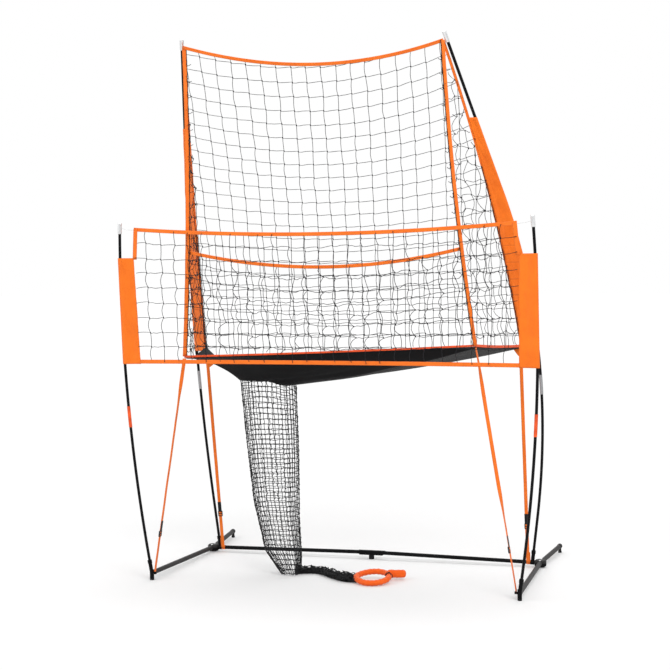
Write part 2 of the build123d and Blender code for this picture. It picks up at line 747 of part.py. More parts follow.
parts["funnel"] = funnel()

chute_top = (OUTLET[0], OUTLET[1], OUTLET[2] - RUN_CLEAR)
chute_rings = [
    cut_corners(rectangle_at(chute_top, OUTLET_SIZE), CORNER_CUT),
    *[cut_corners(rectangle_at(at, size), cut) for at, size, cut in CHUTE]]
parts["chute_net"] = tube_through(chute_rings, NET_T, 10 * NET_T)


def floor_run():
    """The chute's end, collapsed into a flat bundle that bends along the floor to the cuff."""
    course = [Vector(x, y, OFF_FLOOR) for x, y, _, _ in FLOOR_RUN]
    across, rise = FLOOR_RUN_SHOULDER
    outline = ((-1, 0), (1, 0), (1, rise), (across, 1), (-across, 1), (-1, rise))
    rings = []
    for index, (_, _, half_width, height) in enumerate(FLOOR_RUN):
        run = course[min(index + 1, len(course) - 1)] - course[max(index - 1, 0)]
        side_way = run.normalized().cross(Vector(0, 0, 1))
        rings.append([course[index] + side_way * (u * half_width) + Vector(0, 0, v * height)
                      for u, v in outline])
    return loft_through(rings) - loft_through(chute_rings)


def cuff_ring():
    """Padded ring at the chute's end."""
    height = OFF_FLOOR + CUFF_D / 2 + CUFF_R * sin(radians(CUFF_TILT))
    return Pos(*CUFF_CENTRE, height) * Rot(CUFF_TILT, 0, 0) * Torus(CUFF_R, CUFF_D / 2)


def cuff_tail():
    """The ring's loose end, held up by its far side."""
    length, width, height = CUFF_TAIL
    block = Box(length, width, height, align=(Align.MIN, Align.CENTER, Align.MIN))
    block = fillet(block.edges().filter_by(Axis.X), min(width, height) * 0.4)
    at = Pos(CUFF_CENTRE[0] + CUFF_R * 0.6, CUFF_CENTRE[1] + CUFF_R, CUFF_TAIL_RISE)
    return at * Rot(0, 0, CUFF_TAIL_TURN) * block


cuff = cuff_ring()
bundle = floor_run() - cuff
parts["chute_floor_net"] = biggest(bundle)
parts["chute_cuff"] = cuff
tail = cuff_tail() - cuff
parts["cuff_tail"] = biggest(tail)

# ----------------------------------------------------------------- front net
sleeve_low = front_path["right"] @ height_on(front_path["right"], FRONT_SLEEVE[0])
sleeve_high = front_path["right"] @ height_on(front_path["right"], FRONT_SLEEVE[1])
net_slope = atan((sleeve_low.Y - sleeve_high.Y) / (sleeve_high.Z - sleeve_low.Z))
net_plane = Plane(origin=(0, sleeve_low.Y, sleeve_low.Z), x_dir=(1, 0, 0),
                  z_dir=(0, -cos(net_slope), -sin(net_slope)))


def on_net(x, z):
    """Place on the front net's plane, given X and height."""
    return (x, (z - sleeve_low.Z) / cos(net_slope))


def front_tape(z, lift, width):
    """Tape across the front net between the sleeves; lift bows its middle up or down."""
    face = band(on_net(-NET_HALF, z), on_net(0, z + lift), on_net(NET_HALF, z), width, (0, 1))
    return extrude(net_plane * face, amount=TAPE_T / 2, both=True)


def front_sleeve():
    """Fabric panel with a flat pocket that slides on the short pole."""
    path = front_path["right"]
    low, high = FRONT_SLEEVE
    widest = max((path @ height_on(path, low + (high - low) * step / 10)).X for step in range(11))
    outer = widest + pole_r + RUN_CLEAR
    inner = outer - POCKET_W
    low, high = on_net(0, low)[1], on_net(0, high)[1]
    panel_face = make_face(Polyline((NET_HALF, low), (inner, low), (inner, high),
                                    (FRONT_SLEEVE_TOP_X, high), close=True))
    panel = extrude(net_plane * panel_face, amount=TAPE_T / 2, both=True)
    skin = make_face(Polyline((inner - POCKET_WALL, low), (outer + POCKET_WALL, low),
                              (outer + POCKET_WALL, high), (inner - POCKET_WALL, high), close=True))
    bore = make_face(Polyline((inner, low - POCKET_W), (outer, low - POCKET_W),
                              (outer, high + POCKET_W), (inner, high + POCKET_W), close=True))
    pocket = extrude(net_plane * skin, amount=POCKET_DEPTH / 2 + POCKET_WALL, both=True)
    pocket = fillet(pocket.edges().filter_by(lambda edge: edge.length > high - low - 1), POCKET_R)
    return panel + pocket - extrude(net_plane * bore, amount=POCKET_DEPTH / 2, both=True)


def side_tapes():
    """Narrow tapes down the net's edges, above the sleeves."""
    low, high = on_net(0, FRONT_SLEEVE[1])[1], on_net(0, NET_TOP)[1]
    face = make_face(Polyline((FRONT_SLEEVE_TOP_X - TAPE_W, low), (FRONT_SLEEVE_TOP_X, low),
                              (NET_HALF, high), (NET_HALF - TAPE_W, high), close=True))
    return extrude(net_plane * face, amount=TAPE_T / 2, both=True)


top_front = front_tape(NET_TOP - FRONT_TAPE_W / 2, -NET_SAG, FRONT_TAPE_W)
bottom_front = front_tape(NET_BOTTOM + FRONT_HEM_W / 2, NET_HEM_RISE, FRONT_HEM_W)
uprights = mirrored(side_tapes)
for piece in uprights.values():
    top_front += piece - top_front
front_sleeves = {}
for hand, solid in mirrored(front_sleeve).items():
    front_sleeves[hand] = solid - bottom_front - top_front
    parts["front_sleeve_" + hand] = front_sleeves[hand]
parts["front_net_top_tape"] = top_front
parts["front_net_bottom_tape"] = bottom_front


def front_net():
    waist = on_net(-NET_HALF - NET_WAIST_OUT, (NET_BOTTOM + NET_TOP) / 2)
    left = [on_net(-NET_HALF, NET_BOTTOM), waist, on_net(-NET_HALF, NET_TOP)]
    right = [(-x, v) for x, v in left]
    face = between_edges(left, right, on_net(0, NET_TOP - NET_SAG), on_net(0, NET_BOTTOM + NET_HEM_RISE))
    panel = extrude(net_plane * face, amount=NET_T / 2, both=True)
    for piece in (top_front, bottom_front, *front_sleeves.values()):
        panel -= piece
    return biggest(panel)


parts["front_net"] = front_net()


def corner_cord(side):
    """Short cord from the net's top corner to the cap of the short pole."""
    tip = Vector(side * FRONT_POLE_TIP[0], *FRONT_POLE_TIP[1:]) - Vector(side * TIP_CAP_D / 2, 0, 25)
    start = net_plane.from_local_coords(Vector(side * NET_HALF, on_net(0, NET_TOP)[1] - 8, 0))
    run = (tip - start).normalized()
    length = (tip - start).length - 3 * RUN_CLEAR
    return Plane(origin=start, z_dir=run) * Cylinder(
        CORNER_CORD_D / 2, length, align=(Align.CENTER, Align.CENTER, Align.MIN))


parts["net_corner_cords"] = group([corner_cord(side) - top_front for side in SIDES.values()])


# -------------------------------------------------------------------- straps
def strap_line(end, hand):
    """Lower and upper point of a strap's middle line."""
    side = SIDES[hand]
    if end == "front":
        low = Vector(side * (post.X - RING_REACH), post.Y, post.Z + RING[1])
        return low, rim["front", hand] - Vector(0, 0, TAPE_W / 2)
    low = Vector(side * REAR_LOOP_X, -bar_r - FIT_CLEAR - WEB_T / 2, rear_loop_z)
    return low, rim["back", hand] - Vector(side * STRAP_W / 2, 0, TAPE_W / 2)


rear_loop_z = pin.Z + (hub.Z - pin.Z) * (REAR_LOOP_X - pin.X) / (hub.X - pin.X)


def front_strap(hand):
    """Webbing from the rim's front corner, turned a quarter on its way down to the post's ring."""
    low, top = strap_line("front", hand)
    turned, straight = [low + (top - low) * ((z - low.Z) / (top.Z - low.Z)) for z in STRAP_TURN]
    facing, edge_on = ((STRAP_W, 0, 0), (0, -WEB_T, 0)), ((0, STRAP_W, 0), (WEB_T, 0, 0))
    webbing = strip([(top, *facing), (straight, *facing)])
    webbing += strip([(straight, *facing), (turned, *edge_on)])
    webbing += strip([(turned, *edge_on), (low, *edge_on)])
    reach = Vector(0, STRAP_W / 2, 0)
    webbing += between(low - reach, low + reach, RING_BAR_D / 2 + FIT_CLEAR + STRAP_LOOP_WALL)
    return webbing - between(low - reach, low + reach, RING_BAR_D / 2 + FIT_CLEAR) - hem


def rear_strap(hand):
    """Webbing from the rim's rear corner to a loop round the crossbar."""
    low, top = strap_line("rear", hand)
    loop_r = bar_r + FIT_CLEAR
    webbing = strip([(top, (STRAP_W, 0, 0), (0, WEB_T, 0)), (low, (STRAP_W, 0, 0), (0, WEB_T, 0))])
    run = Vector(SIDES[hand] * bar_run.X, 0, bar_run.Z) * STRAP_W / 2
    middle = Vector(low.X, 0, low.Z)
    webbing += between(middle - run, middle + run, loop_r + WEB_T)
    return webbing - between(middle - 2 * run, middle + 2 * run, loop_r) - hem


def buckle(end, hand):
    """Ladder buckle on a strap, with the tail of webbing that pulls it tight."""
    low, top = strap_line(end, hand)
    wide = Vector(0, 1, 0) if end == "front" else Vector(1, 0, 0)
    run = (top - low).normalized()
    origin = low + (top - low) * ((BUCKLE_HEIGHT[end] - low.Z) / (top.Z - low.Z))
    across, along, deep = BUCKLE
    frame = Plane(origin=origin, x_dir=wide, z_dir=wide.cross(run))
    body = Box(across, along, deep)
    body = fillet(body.edges().filter_by(Axis.Z), BUCKLE_CORNER_R)
    body -= Box(STRAP_W + 2 * BUCKLE_CLEAR, 2 * along, WEB_T + 2 * BUCKLE_CLEAR)
    window = Box(STRAP_W, (along - 3 * BUCKLE_BAR) / 2, 2 * deep)
    shift = (along - BUCKLE_BAR) / 4
    body -= Pos(0, shift, deep) * window
    body -= Pos(0, -shift, deep) * window
    tab = Box(STRAP_W, BUCKLE_TAB_L, WEB_T)
    tab = Pos(0, (along + BUCKLE_TAB_L) / 2 - WEB_T, (deep - WEB_T) / 2) * tab
    return frame * (body + tab)


for hand in SIDES:
    parts["front_strap_" + hand] = front_strap(hand)
    parts["rear_strap_" + hand] = rear_strap(hand) - parts["main_socket_" + hand]
    for end in ("front", "rear"):
        parts[end + "_buckle_" + hand] = buckle(end, hand)

os.makedirs("parts", exist_ok=True)
for name, shape in parts.items():
    shape.label = name
    export_step(shape, "parts/" + name + ".step")
print(len(parts), "nodes")
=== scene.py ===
import math

import bmesh
import bpy
from mathutils import Matrix, Vector, noise


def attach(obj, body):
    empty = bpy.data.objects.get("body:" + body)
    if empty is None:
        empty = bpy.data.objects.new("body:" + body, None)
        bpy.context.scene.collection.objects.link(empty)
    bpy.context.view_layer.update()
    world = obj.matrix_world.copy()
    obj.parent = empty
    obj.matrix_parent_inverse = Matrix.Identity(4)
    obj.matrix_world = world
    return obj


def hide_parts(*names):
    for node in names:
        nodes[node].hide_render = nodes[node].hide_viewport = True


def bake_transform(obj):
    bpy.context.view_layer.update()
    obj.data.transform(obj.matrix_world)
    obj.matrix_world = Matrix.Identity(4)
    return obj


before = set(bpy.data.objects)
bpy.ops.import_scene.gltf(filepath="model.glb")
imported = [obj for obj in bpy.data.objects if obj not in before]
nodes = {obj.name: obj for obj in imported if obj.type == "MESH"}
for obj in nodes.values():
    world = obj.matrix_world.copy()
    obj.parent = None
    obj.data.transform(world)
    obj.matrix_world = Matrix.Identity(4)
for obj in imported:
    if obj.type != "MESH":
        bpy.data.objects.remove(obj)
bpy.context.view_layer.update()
SIDES = {"left": -1, "right": 1}
UP = Vector((0, 0, 1))

# ------------------------------------------------------------------ camera
EYE = Vector((2.9636, -9.9267, 2.2067))
YAW, PITCH, ROLL = math.radians(-17.835), math.radians(3.861), math.radians(-1.0005)
LENS = 84.05


def camera():
    data = bpy.data.cameras.new("studio_camera")
    data.lens, data.sensor_width = LENS, 36
    data.clip_start, data.clip_end = 0.1, 200
    seen = bpy.data.objects.new("studio_camera", data)
    bpy.context.scene.collection.objects.link(seen)
    ahead = Vector((math.sin(YAW) * math.cos(PITCH), math.cos(YAW) * math.cos(PITCH), -math.sin(PITCH)))
    right = Vector((math.cos(YAW), -math.sin(YAW), 0))
    top = right.cross(ahead)
    across = right * math.cos(ROLL) + top * math.sin(ROLL)
    over = top * math.cos(ROLL) - right * math.sin(ROLL)
    turn = Matrix((across, over, -ahead)).transposed()
    seen.matrix_world = Matrix.Translation(EYE) @ turn.to_4x4()
    bpy.context.scene.camera = seen


camera()


# --------------------------------------------------------------- materials
class Sock:
    """A shader socket; sums, differences and products of it add Math nodes."""

    def __init__(self, finish, link):
        self.finish, self.link = finish, link

    def _math(self, kind, *values):
        return self.finish.node("ShaderNodeMath", {"operation": kind}, dict(enumerate(values)))

    def __add__(self, other):
        return self._math("ADD", self, other)

    def __sub__(self, other):
        return self._math("SUBTRACT", self, other)

    def __rsub__(self, other):
        return self._math("SUBTRACT", other, self)

    def __mul__(self, other):
        return self._math("MULTIPLY", self, other)

    def __gt__(self, other):
        return self._math("GREATER_THAN", self, other)

    __radd__, __rmul__ = __add__, __mul__

    def sine(self):
        return self._math("SINE", self)

    def part(self):
        return self._math("FRACT", self)

    def size(self):
        return self._math("ABSOLUTE", self)

    def between(self, low, high):
        """0 below low, 1 above high, smooth in between."""
        return self.finish.node("ShaderNodeMapRange", {"interpolation_type": "SMOOTHSTEP"},
                                {"Value": self, "From Min": low, "From Max": high})


class Finish:
    """One material, built on the Principled shader."""

    def __init__(self, name, **fixed):
        self.material = bpy.data.materials.new(name)
        self.material.use_nodes = True
        self.tree = self.material.node_tree
        self.shader = self.tree.nodes["Principled BSDF"]
        for socket, value in fixed.items():
            self.set(socket.replace("_", " "), value)

    def node(self, kind, settings=None, inputs=None, out=0):
        made = self.tree.nodes.new(kind)
        for key, value in (settings or {}).items():
            setattr(made, key, value)
        for key, value in (inputs or {}).items():
            self._feed(made.inputs[key], value)
        return Sock(self, made.outputs[out])

    def _feed(self, socket, value):
        if isinstance(value, Sock):
            self.tree.links.new(value.link, socket)
        elif isinstance(value, tuple) and len(value) == 3 and len(socket.default_value) == 4:
            socket.default_value = (*value, 1)
        else:
            socket.default_value = value

    def set(self, socket, value):
        self._feed(self.shader.inputs[socket], value)

    def place(self):
        return self.node("ShaderNodeTexCoord", out="Object")

    def uv(self):
        """The piece's own sheet coordinates, in metres: along it and across it."""
        both = self.node("ShaderNodeTexCoord", out="UV")
        along = self.node("ShaderNodeSeparateXYZ", None, {0: both})
        across = Sock(self, along.link.node.outputs[1])
        return along, across

    def noise(self, at, scale, detail=3.0, roughness=0.55):
        return self.node("ShaderNodeTexNoise", None,
                         {"Vector": at, "Scale": scale, "Detail": detail, "Roughness": roughness})

    def stretched(self, at, factors):
        return self.node("ShaderNodeMapping", None, {"Vector": at, "Scale": factors})

    def mix(self, factor, first, second):
        return self.node("ShaderNodeMix", {"data_type": "RGBA"}, {0: factor, 6: first, 7: second}, 2)

    def bump(self, height, depth):
        """Raises the surface by height times depth, in metres."""
        self.set("Normal", self.node("ShaderNodeBump", None, {"Height": height, "Distance": depth}))


def shade(colour, factor):
    return tuple(min(1.0, c * factor) for c in colour)


ORANGE = (1.0, 0.172, 0.007)
TAPE_ORANGE = (0.98, 0.172, 0.014)
BLACK = (0.0055, 0.0055, 0.006)


def woven(name, colour, pitch, seam=0.0, slub=0.16, rough=0.62, sheen=0.1, shine=0.2, rows=()):
    """Cloth or webbing: crossing threads in sheet coordinates, slubs and stitching.

    seam is how far the stitches are from the edge, and rows are how far along the sheet
    it is quilted across; each row is pressed in as a groove and darkened with painted shade."""
    cloth = Finish(name, Sheen_Weight=sheen, Sheen_Roughness=0.5, Specular_IOR_Level=shine)
    along, across = cloth.uv()
    turn = 2 * math.pi / pitch
    warp, weft = (along * turn).sine(), (across * turn).sine()
    at = cloth.place()
    fine = cloth.noise(at, 240.0)
    broad = cloth.noise(at, 7.0, 5.0)
    threads = warp * weft * 0.5 + 0.5
    height = threads * 0.6 + fine * 0.4
    tone = threads * 0.10 + fine * slub + broad * 0.35
    dark, light = shade(colour, 0.74), shade(colour, 1.22)
    face = cloth.mix(tone.between(0.1, 0.5), dark, light)
    if seam:
        line = 1 - ((across - seam).size() * 900.0).between(0.4, 1.0)
        dash = ((along * 250.0).part() - 0.5).size() > 0.16
        stitch = line * dash
        face = cloth.mix(stitch * 0.75, face, shade(colour, 1.5))
        height = height + stitch * 1.5
    for row in rows:
        # each quilted row is a groove; its darkening is painted shade
        groove_and_shade = 1 - ((along - row).size() * 260.0).between(0.2, 1.0)
        face = cloth.mix(groove_and_shade * 0.45, face, shade(colour, 0.45))
        height = height - groove_and_shade * 2.5
    cloth.set("Base Color", face)
    cloth.set("Roughness", fine * 0.2 + rough - 0.1)
    cloth.bump(height, 0.0004)
    return cloth.material


def cord_finish(name, colour, rough=0.6, sheen=0.05):
    """Twisted string: short diagonal strands with loose fibre."""
    string = Finish(name, Sheen_Weight=sheen, Specular_IOR_Level=0.15)
    at = string.place()
    strands = string.noise(string.stretched(at, (1.0, 1.0, 0.35)), 900.0, 2.0)
    worn = string.noise(at, 18.0, 4.0)
    string.set("Base Color", string.mix(strands * 0.6 + worn * 0.4, shade(colour, 0.6), shade(colour, 1.9)))
    string.set("Roughness", worn * 0.3 + rough - 0.15)
    string.bump(strands, 0.0006)
    return string.material


def painted(name, colour, rough=0.5, grain=0.00012, shine=0.15):
    """Powder coat: fine orange peel, dust in the lows, and bright rubbed spots."""
    paint = Finish(name, Specular_IOR_Level=shine)
    at = paint.place()
    peel = paint.noise(at, 620.0, 2.0)
    dust = paint.noise(at, 9.0, 6.0, 0.62)
    scuff = paint.noise(paint.stretched(at, (1.0, 1.0, 5.0)), 38.0, 8.0, 0.7).between(0.63, 0.72)
    face = paint.mix(dust.between(0.35, 0.75), shade(colour, 0.8), shade(colour, 1.5))
    paint.set("Base Color", paint.mix(scuff * 0.12, face, (0.16, 0.15, 0.145)))
    paint.set("Roughness", peel * 0.12 + dust * 0.2 + rough - 0.16 + scuff * 0.1)
    paint.bump(peel - scuff * 0.5, grain)
    return paint.material


def metal(name, colour, rough):
    """Drawn or plated metal with fine scratches along its length."""
    bright = Finish(name, Metallic=1.0)
    at = bright.place()
    lines = bright.noise(bright.stretched(at, (1.0, 1.0, 0.04)), 1400.0, 2.0)
    dull = bright.noise(at, 60.0, 5.0)
    bright.set("Base Color", bright.mix(dull, shade(colour, 0.82), colour))
    bright.set("Roughness", lines * 0.18 + dull * 0.12 + rough - 0.12)
    bright.bump(lines, 0.00005)
    return bright.material


def pole_finish():
    """Black glass-fibre rod: long fibres under a clear coat."""
    rod = Finish("glass_fibre_rod", Coat_Weight=0.03, Coat_Roughness=0.2, Specular_IOR_Level=0.08)
    at = rod.place()
    fibres = rod.noise(rod.stretched(at, (1.0, 1.0, 0.02)), 1100.0, 3.0)
    smear = rod.noise(at, 14.0, 5.0)
    rod.set("Base Color", rod.mix(fibres, (0.002, 0.002, 0.0025), (0.006, 0.006, 0.007)))
    rod.set("Roughness", smear * 0.2 + 0.2)
    rod.bump(fibres, 0.0001)
    return rod.material


def moulded(name, colour, rough):
    """Moulded plastic or rubber with a fine spark-eroded grain."""
    body = Finish(name, Specular_IOR_Level=0.2)
    at = body.place()
    grain = body.noise(at, 300.0, 4.0)
    marks = body.noise(at, 25.0, 6.0, 0.65)
    body.set("Base Color", body.mix(marks.between(0.3, 0.8), shade(colour, 0.8), shade(colour, 1.7)))
    body.set("Roughness", grain * 0.2 + rough - 0.1)
    body.bump(grain, 0.00015)
    return body.material


webbing = woven("orange_webbing", TAPE_ORANGE, 0.0016, seam=0.003)
red_webbing = woven("red_orange_binding", (0.86, 0.095, 0.02), 0.0016)
SLEEVE_ROWS = (0.285, 0.385, 0.490, 0.595)   # quilting across the tall sleeves, from their feet up
sleeve_cloth = woven("orange_sleeve_cloth", ORANGE, 0.0007, sheen=0.15)
long_sleeve_cloth = woven("orange_long_sleeve_cloth", ORANGE, 0.0007, sheen=0.15, rows=SLEEVE_ROWS)
cuff_cloth = woven("orange_cuff_cloth", (1.0, 0.115, 0.006), 0.0009, sheen=0.15)
black_cloth = woven("black_hopper_cloth", BLACK, 0.0009, slub=0.3, rough=0.6, sheen=0.012, shine=0.08)
net_string = cord_finish("black_net_string", (0.011, 0.011, 0.013), sheen=0.02)
chute_string = cord_finish("black_chute_string", (0.009, 0.009, 0.010))
light_string = cord_finish("pale_cord", (0.62, 0.62, 0.63))
frame_grey = painted("dark_grey_powder_coat", (0.022, 0.020, 0.0205), shine=0.2)
frame_black = painted("black_powder_coat", (0.004, 0.004, 0.0045), shine=0.08)
zinc = metal("zinc_plate", (0.78, 0.79, 0.80), 0.28)
ferrule_metal = metal("drawn_ferrule", (0.42, 0.42, 0.43), 0.35)
tip_metal = metal("bright_tip", (0.90, 0.905, 0.91), 0.3)
rod_black = pole_finish()
red_band = moulded("red_joint_band", (0.78, 0.085, 0.02), 0.4)
rubber = moulded("foot_rubber", (0.006, 0.006, 0.007), 0.7)
buckle_plastic = moulded("buckle_plastic", (0.008, 0.008, 0.009), 0.42)

CAD_FINISHES = {
    "foot_tube": frame_grey, "hub_plate": frame_grey, "rear_cap": frame_grey,
    "hub_dish": frame_black, "crossbar": frame_black, "centre_channel": frame_black,
    "front_socket": frame_black, "main_socket": frame_black,
    "hub_bolts": zinc, "hinge_pins": frame_black,
    "front_pole_lower": rod_black, "front_pole_upper": rod_black,
    "main_pole_lower": rod_black, "main_pole_upper": rod_black,
    "main_pole_ferrules": ferrule_metal, "front_pole_tips": tip_metal, "main_pole_tips": tip_metal,
    "front_pole_bands": red_band, "rubber_feet": rubber,
    "front_buckle": buckle_plastic, "rear_buckle": buckle_plastic,
}
for name, node in nodes.items():
    for start, finish in CAD_FINISHES.items():
        if name.startswith(start):
            node.data.materials.clear()
            node.data.materials.append(finish)


# ------------------------------------------------------------------ makers
def through(*points):
    """The quadratic that takes three (height, value) pairs."""
    def value(h):
        total = 0.0
        for i, (at, amount) in enumerate(points):
            share = amount
            for k, (other, _) in enumerate(points):
                if k != i:
                    share *= (h - other) / (at - other)
            total += share
        return total
    return value


def smooth(t):
    t = max(0.0, min(1.0, t))
    return t * t * (3 - 2 * t)


def rough(at, scale, seed=0.0):
    """Smooth noise from -1 to 1 at a point."""
    return noise.noise(Vector(at) * scale + Vector((seed, 2 * seed, -seed)))


def keep(mesh, name, body, material, slot, *stands_for):
    """Gives a mesh its object and finish, hangs it on a named body, and hides the CAD nodes it stands for."""
    piece = bpy.data.objects.new(name, mesh)
    bpy.context.scene.collection.objects.link(piece)
    mesh.materials.clear()
    mesh.materials.append(material)
    for face in mesh.polygons:
        face.use_smooth = True
    if isinstance(body, str):
        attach(piece, body)
    else:
        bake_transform(piece)
    if stands_for:
        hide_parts(*stands_for)
    return piece


def bend_grid(form, place, along, across, length, width, closed=False, thick=0.0):
    """Adds a grid to form, bent to place(u, v), with sheet coordinates in metres."""
    uv = form.loops.layers.uv.verify()
    made = bmesh.ops.create_grid(form, x_segments=along, y_segments=across, size=0.5)["verts"]
    faces = {face for vert in made for face in vert.link_faces}
    for face in faces:
        for loop in face.loops:
            u, v = loop.vert.co.x + 0.5, loop.vert.co.y + 0.5
            loop[uv].uv = (u * length, v * width)
    for vert in made:
        vert.co = place(vert.co.x + 0.5, vert.co.y + 0.5)
    if closed:
        bmesh.ops.remove_doubles(form, verts=made, dist=0.0002)
        faces = {face for face in faces if face.is_valid}
    if thick:
        bmesh.ops.recalc_face_normals(form, faces=list(faces))
        bmesh.ops.solidify(form, geom=list(faces), thickness=thick)
    return faces


def finished(form, name):
    bmesh.ops.recalc_face_normals(form, faces=form.faces)
    mesh = bpy.data.meshes.new(name)
    form.to_mesh(mesh)
    form.free()
    return mesh


def ribbon(form, centre, wide, width, thick, length, steps, ripple=0.0, seed=0.0):
    """Webbing along centre(u), spread along wide(u); slightly crowned, with small ripples."""
    def place(u, v):
        here, ahead = centre(u), centre(min(1, u + 0.002)) - centre(max(0, u - 0.002))
        side = wide(u).normalized()
        face = side.cross(ahead).normalized()
        lift = thick * 0.35 * (1 - (2 * v - 1) ** 2) + ripple * rough(here, 9.0, seed)
        return here + side * ((v - 0.5) * width) + face * (lift - thick * 0.5)
    bend_grid(form, place, steps, 4, length, width, thick=-thick)


def tube_run(name, runs, thick, sides=1):
    """A mesh of round strings through lists of points."""
    line = bpy.data.curves.new(name, "CURVE")
    line.dimensions = "3D"
    line.bevel_depth, line.bevel_resolution, line.use_fill_caps = thick / 2, sides, True
    for points in runs:
        spline = line.splines.new("POLY")
        spline.points.add(len(points) - 1)
        for point, at in zip(spline.points, points):
            point.co = (*at, 1)
    holder = bpy.data.objects.new(name, line)
    bpy.context.scene.collection.objects.link(holder)
    bpy.context.view_layer.update()
    mesh = bpy.data.meshes.new_from_object(holder.evaluated_get(bpy.context.evaluated_depsgraph_get()))
    bpy.data.objects.remove(holder)
    bpy.data.curves.remove(line)
    return mesh


def knots(mesh, places, thick, tall=2.3):
    """Adds a small knot at each (point, direction)."""
    form = bmesh.new()
    form.from_mesh(mesh)
    for at, along in places:
        turn = along.to_track_quat("Z", "Y").to_matrix().to_4x4()
        size = Matrix.Diagonal((thick, thick, thick * tall / 2, 1))
        bmesh.ops.create_icosphere(form, subdivisions=1, radius=1,
                                   matrix=Matrix.Translation(at) @ turn @ size)
    form.to_mesh(mesh)
    form.free()


class Net:
    """Square mesh in sheet coordinates a and b; place puts a sheet point in space."""

    STEP = 0.08            # a level string's step at each knot, as a share of a square

    def __init__(self, place, inside, cell, seed, wander, droop):
        self.place, self.inside, self.cell, self.seed = place, inside, cell, seed
        self.wander, self.droop = wander, droop

    def drift(self, i, j):
        shift = noise.cell_vector(Vector((i + 0.5, j + 0.5, self.seed))) - Vector((0.5, 0.5, 0.5))
        return shift * (2 * self.wander * self.cell)

    def point(self, a, b, upright, before=False):
        """Point of a string; it keeps to its knots and bows a little between them.

        A level string enters each knot at its top and leaves at its foot, so it steps down there;
        before asks for the side on which it enters."""
        i, j = a / self.cell, b / self.cell
        if upright:
            i, low = round(i), math.floor(j)
            t, ends = j - low, (self.drift(i, low), self.drift(i, low + 1))
        else:
            j, low = round(j), math.floor(i + 1e-6) - before
            t, ends = i - low, (self.drift(low, j), self.drift(low + 1, j))
            b += self.STEP * self.cell * (t - 0.5)
        off = ends[0].lerp(ends[1], t)
        bow = math.sin(math.pi * t) * self.droop * self.cell
        sway = noise.cell(Vector((i + 7.5, low + 3.5, self.seed + upright))) - 0.5
        if upright:
            off += Vector((bow * 2 * sway, 0, bow * sway))
        else:
            off += Vector((0, -bow * (0.6 + sway), bow * sway))
        return self.place(a + off.x, b + off.y, off.z)

    def runs(self, reach_a, reach_b):
        found = []
        for upright in (True, False):
            fixed, moving = (reach_a, reach_b) if upright else (reach_b, reach_a)
            step = self.cell / 4
            for n in range(math.floor(fixed[0] / self.cell), math.ceil(fixed[1] / self.cell) + 1):
                at = n * self.cell

                def here(m):
                    return (at, m) if upright else (m, at)

                run, last = [], None
                first, stop = math.floor(moving[0] / step), math.ceil(moving[1] / step)
                for m in [k * step for k in range(first, stop + 1)]:
                    good = self.inside(*here(m))
                    if last is not None and good != last:
                        low, high = (m - step, m)
                        for _ in range(8):
                            mid = (low + high) / 2
                            if self.inside(*here(mid)) == last:
                                low = mid
                            else:
                                high = mid
                        run.append(self.point(*here(low if last else high), upright))
                    if good:
                        if run and not upright and round(m / step) % 4 == 0:
                            run.append(self.point(*here(m), upright, True))
                        run.append(self.point(*here(m), upright))
                    elif run:
                        if len(run) > 1:
                            found.append(run)
                        run = []
                    last = good
                if len(run) > 1:
                    found.append(run)
        return found

    def ties(self, reach_a, reach_b):
        places = []
        for i in range(math.floor(reach_a[0] / self.cell), math.ceil(reach_a[1] / self.cell) + 1):
            for j in range(math.floor(reach_b[0] / self.cell), math.ceil(reach_b[1] / self.cell) + 1):
                a, b = i * self.cell, j * self.cell
                if self.inside(a, b):
                    at = self.point(a, b, True)
                    places.append((at, self.point(a + 0.003, b - 0.01, True) - at))
        return places

    def mesh(self, name, reach_a, reach_b, thick, knot=0.0):
        made = tube_run(name, self.runs(reach_a, reach_b), thick)
        knots(made, self.ties(reach_a, reach_b), knot or thick)
        return made


# ------------------------------------------------------------ catch net lines
RIM_FRONT = (0.933, -0.906, 1.468)
RIM_BACK = (1.078, -0.220, 1.410)
RIM_CROSS = 0.040 / RIM_FRONT[0]
RIM_RISE = (RIM_BACK[2] - RIM_FRONT[2]) / (RIM_BACK[1] - RIM_FRONT[1])
APEX = (0.803, -1.098, 3.301)
TIP_UNEVEN = 0.019
WAIST_FRONT, WAIST_BACK = (0.847, 2.370), (0.967, -0.622, 2.400)
TOP_SAG = 0.113
CELL = 0.0935
STRING, KNOT = 0.0034, 0.0046


def rim_z(x, y):
    return RIM_FRONT[2] + RIM_CROSS * x + RIM_RISE * (y - RIM_FRONT[1])


def rim_corner(corner, side, drop=0.0):
    x, y = side * corner[0], corner[1]
    return Vector((x, y, rim_z(x, y) - drop))


def apex(side):
    return Vector((side * APEX[0], APEX[1], APEX[2] - side * TIP_UNEVEN))


front_lean = (RIM_FRONT[1] - APEX[1]) / (APEX[2] - RIM_FRONT[2])


def front_y(z):
    return RIM_FRONT[1] - (z - RIM_FRONT[2]) * front_lean


back_y = through((RIM_BACK[2], RIM_BACK[1]), (WAIST_BACK[2], WAIST_BACK[1]), (APEX[2], APEX[1]))
front_x = {side: through((rim_corner(RIM_FRONT, side).z, side * RIM_FRONT[0]),
                         (WAIST_FRONT[1], side * WAIST_FRONT[0]), (apex(side).z, side * APEX[0]))
           for side in SIDES.values()}
back_x = {side: through((rim_corner(RIM_BACK, side).z, side * RIM_BACK[0]),
                        (WAIST_BACK[2], side * WAIST_BACK[0]), (apex(side).z, side * APEX[0]))
          for side in SIDES.values()}


def hang(t):
    """Sag shape from 0 at both ends to 1 in the middle."""
    return 1 - (2 * t - 1) ** 2


def top_z(x):
    t = (x + APEX[0]) / (2 * APEX[0])
    return apex(-1).z + (apex(1).z - apex(-1).z) * t - TOP_SAG * hang(t)


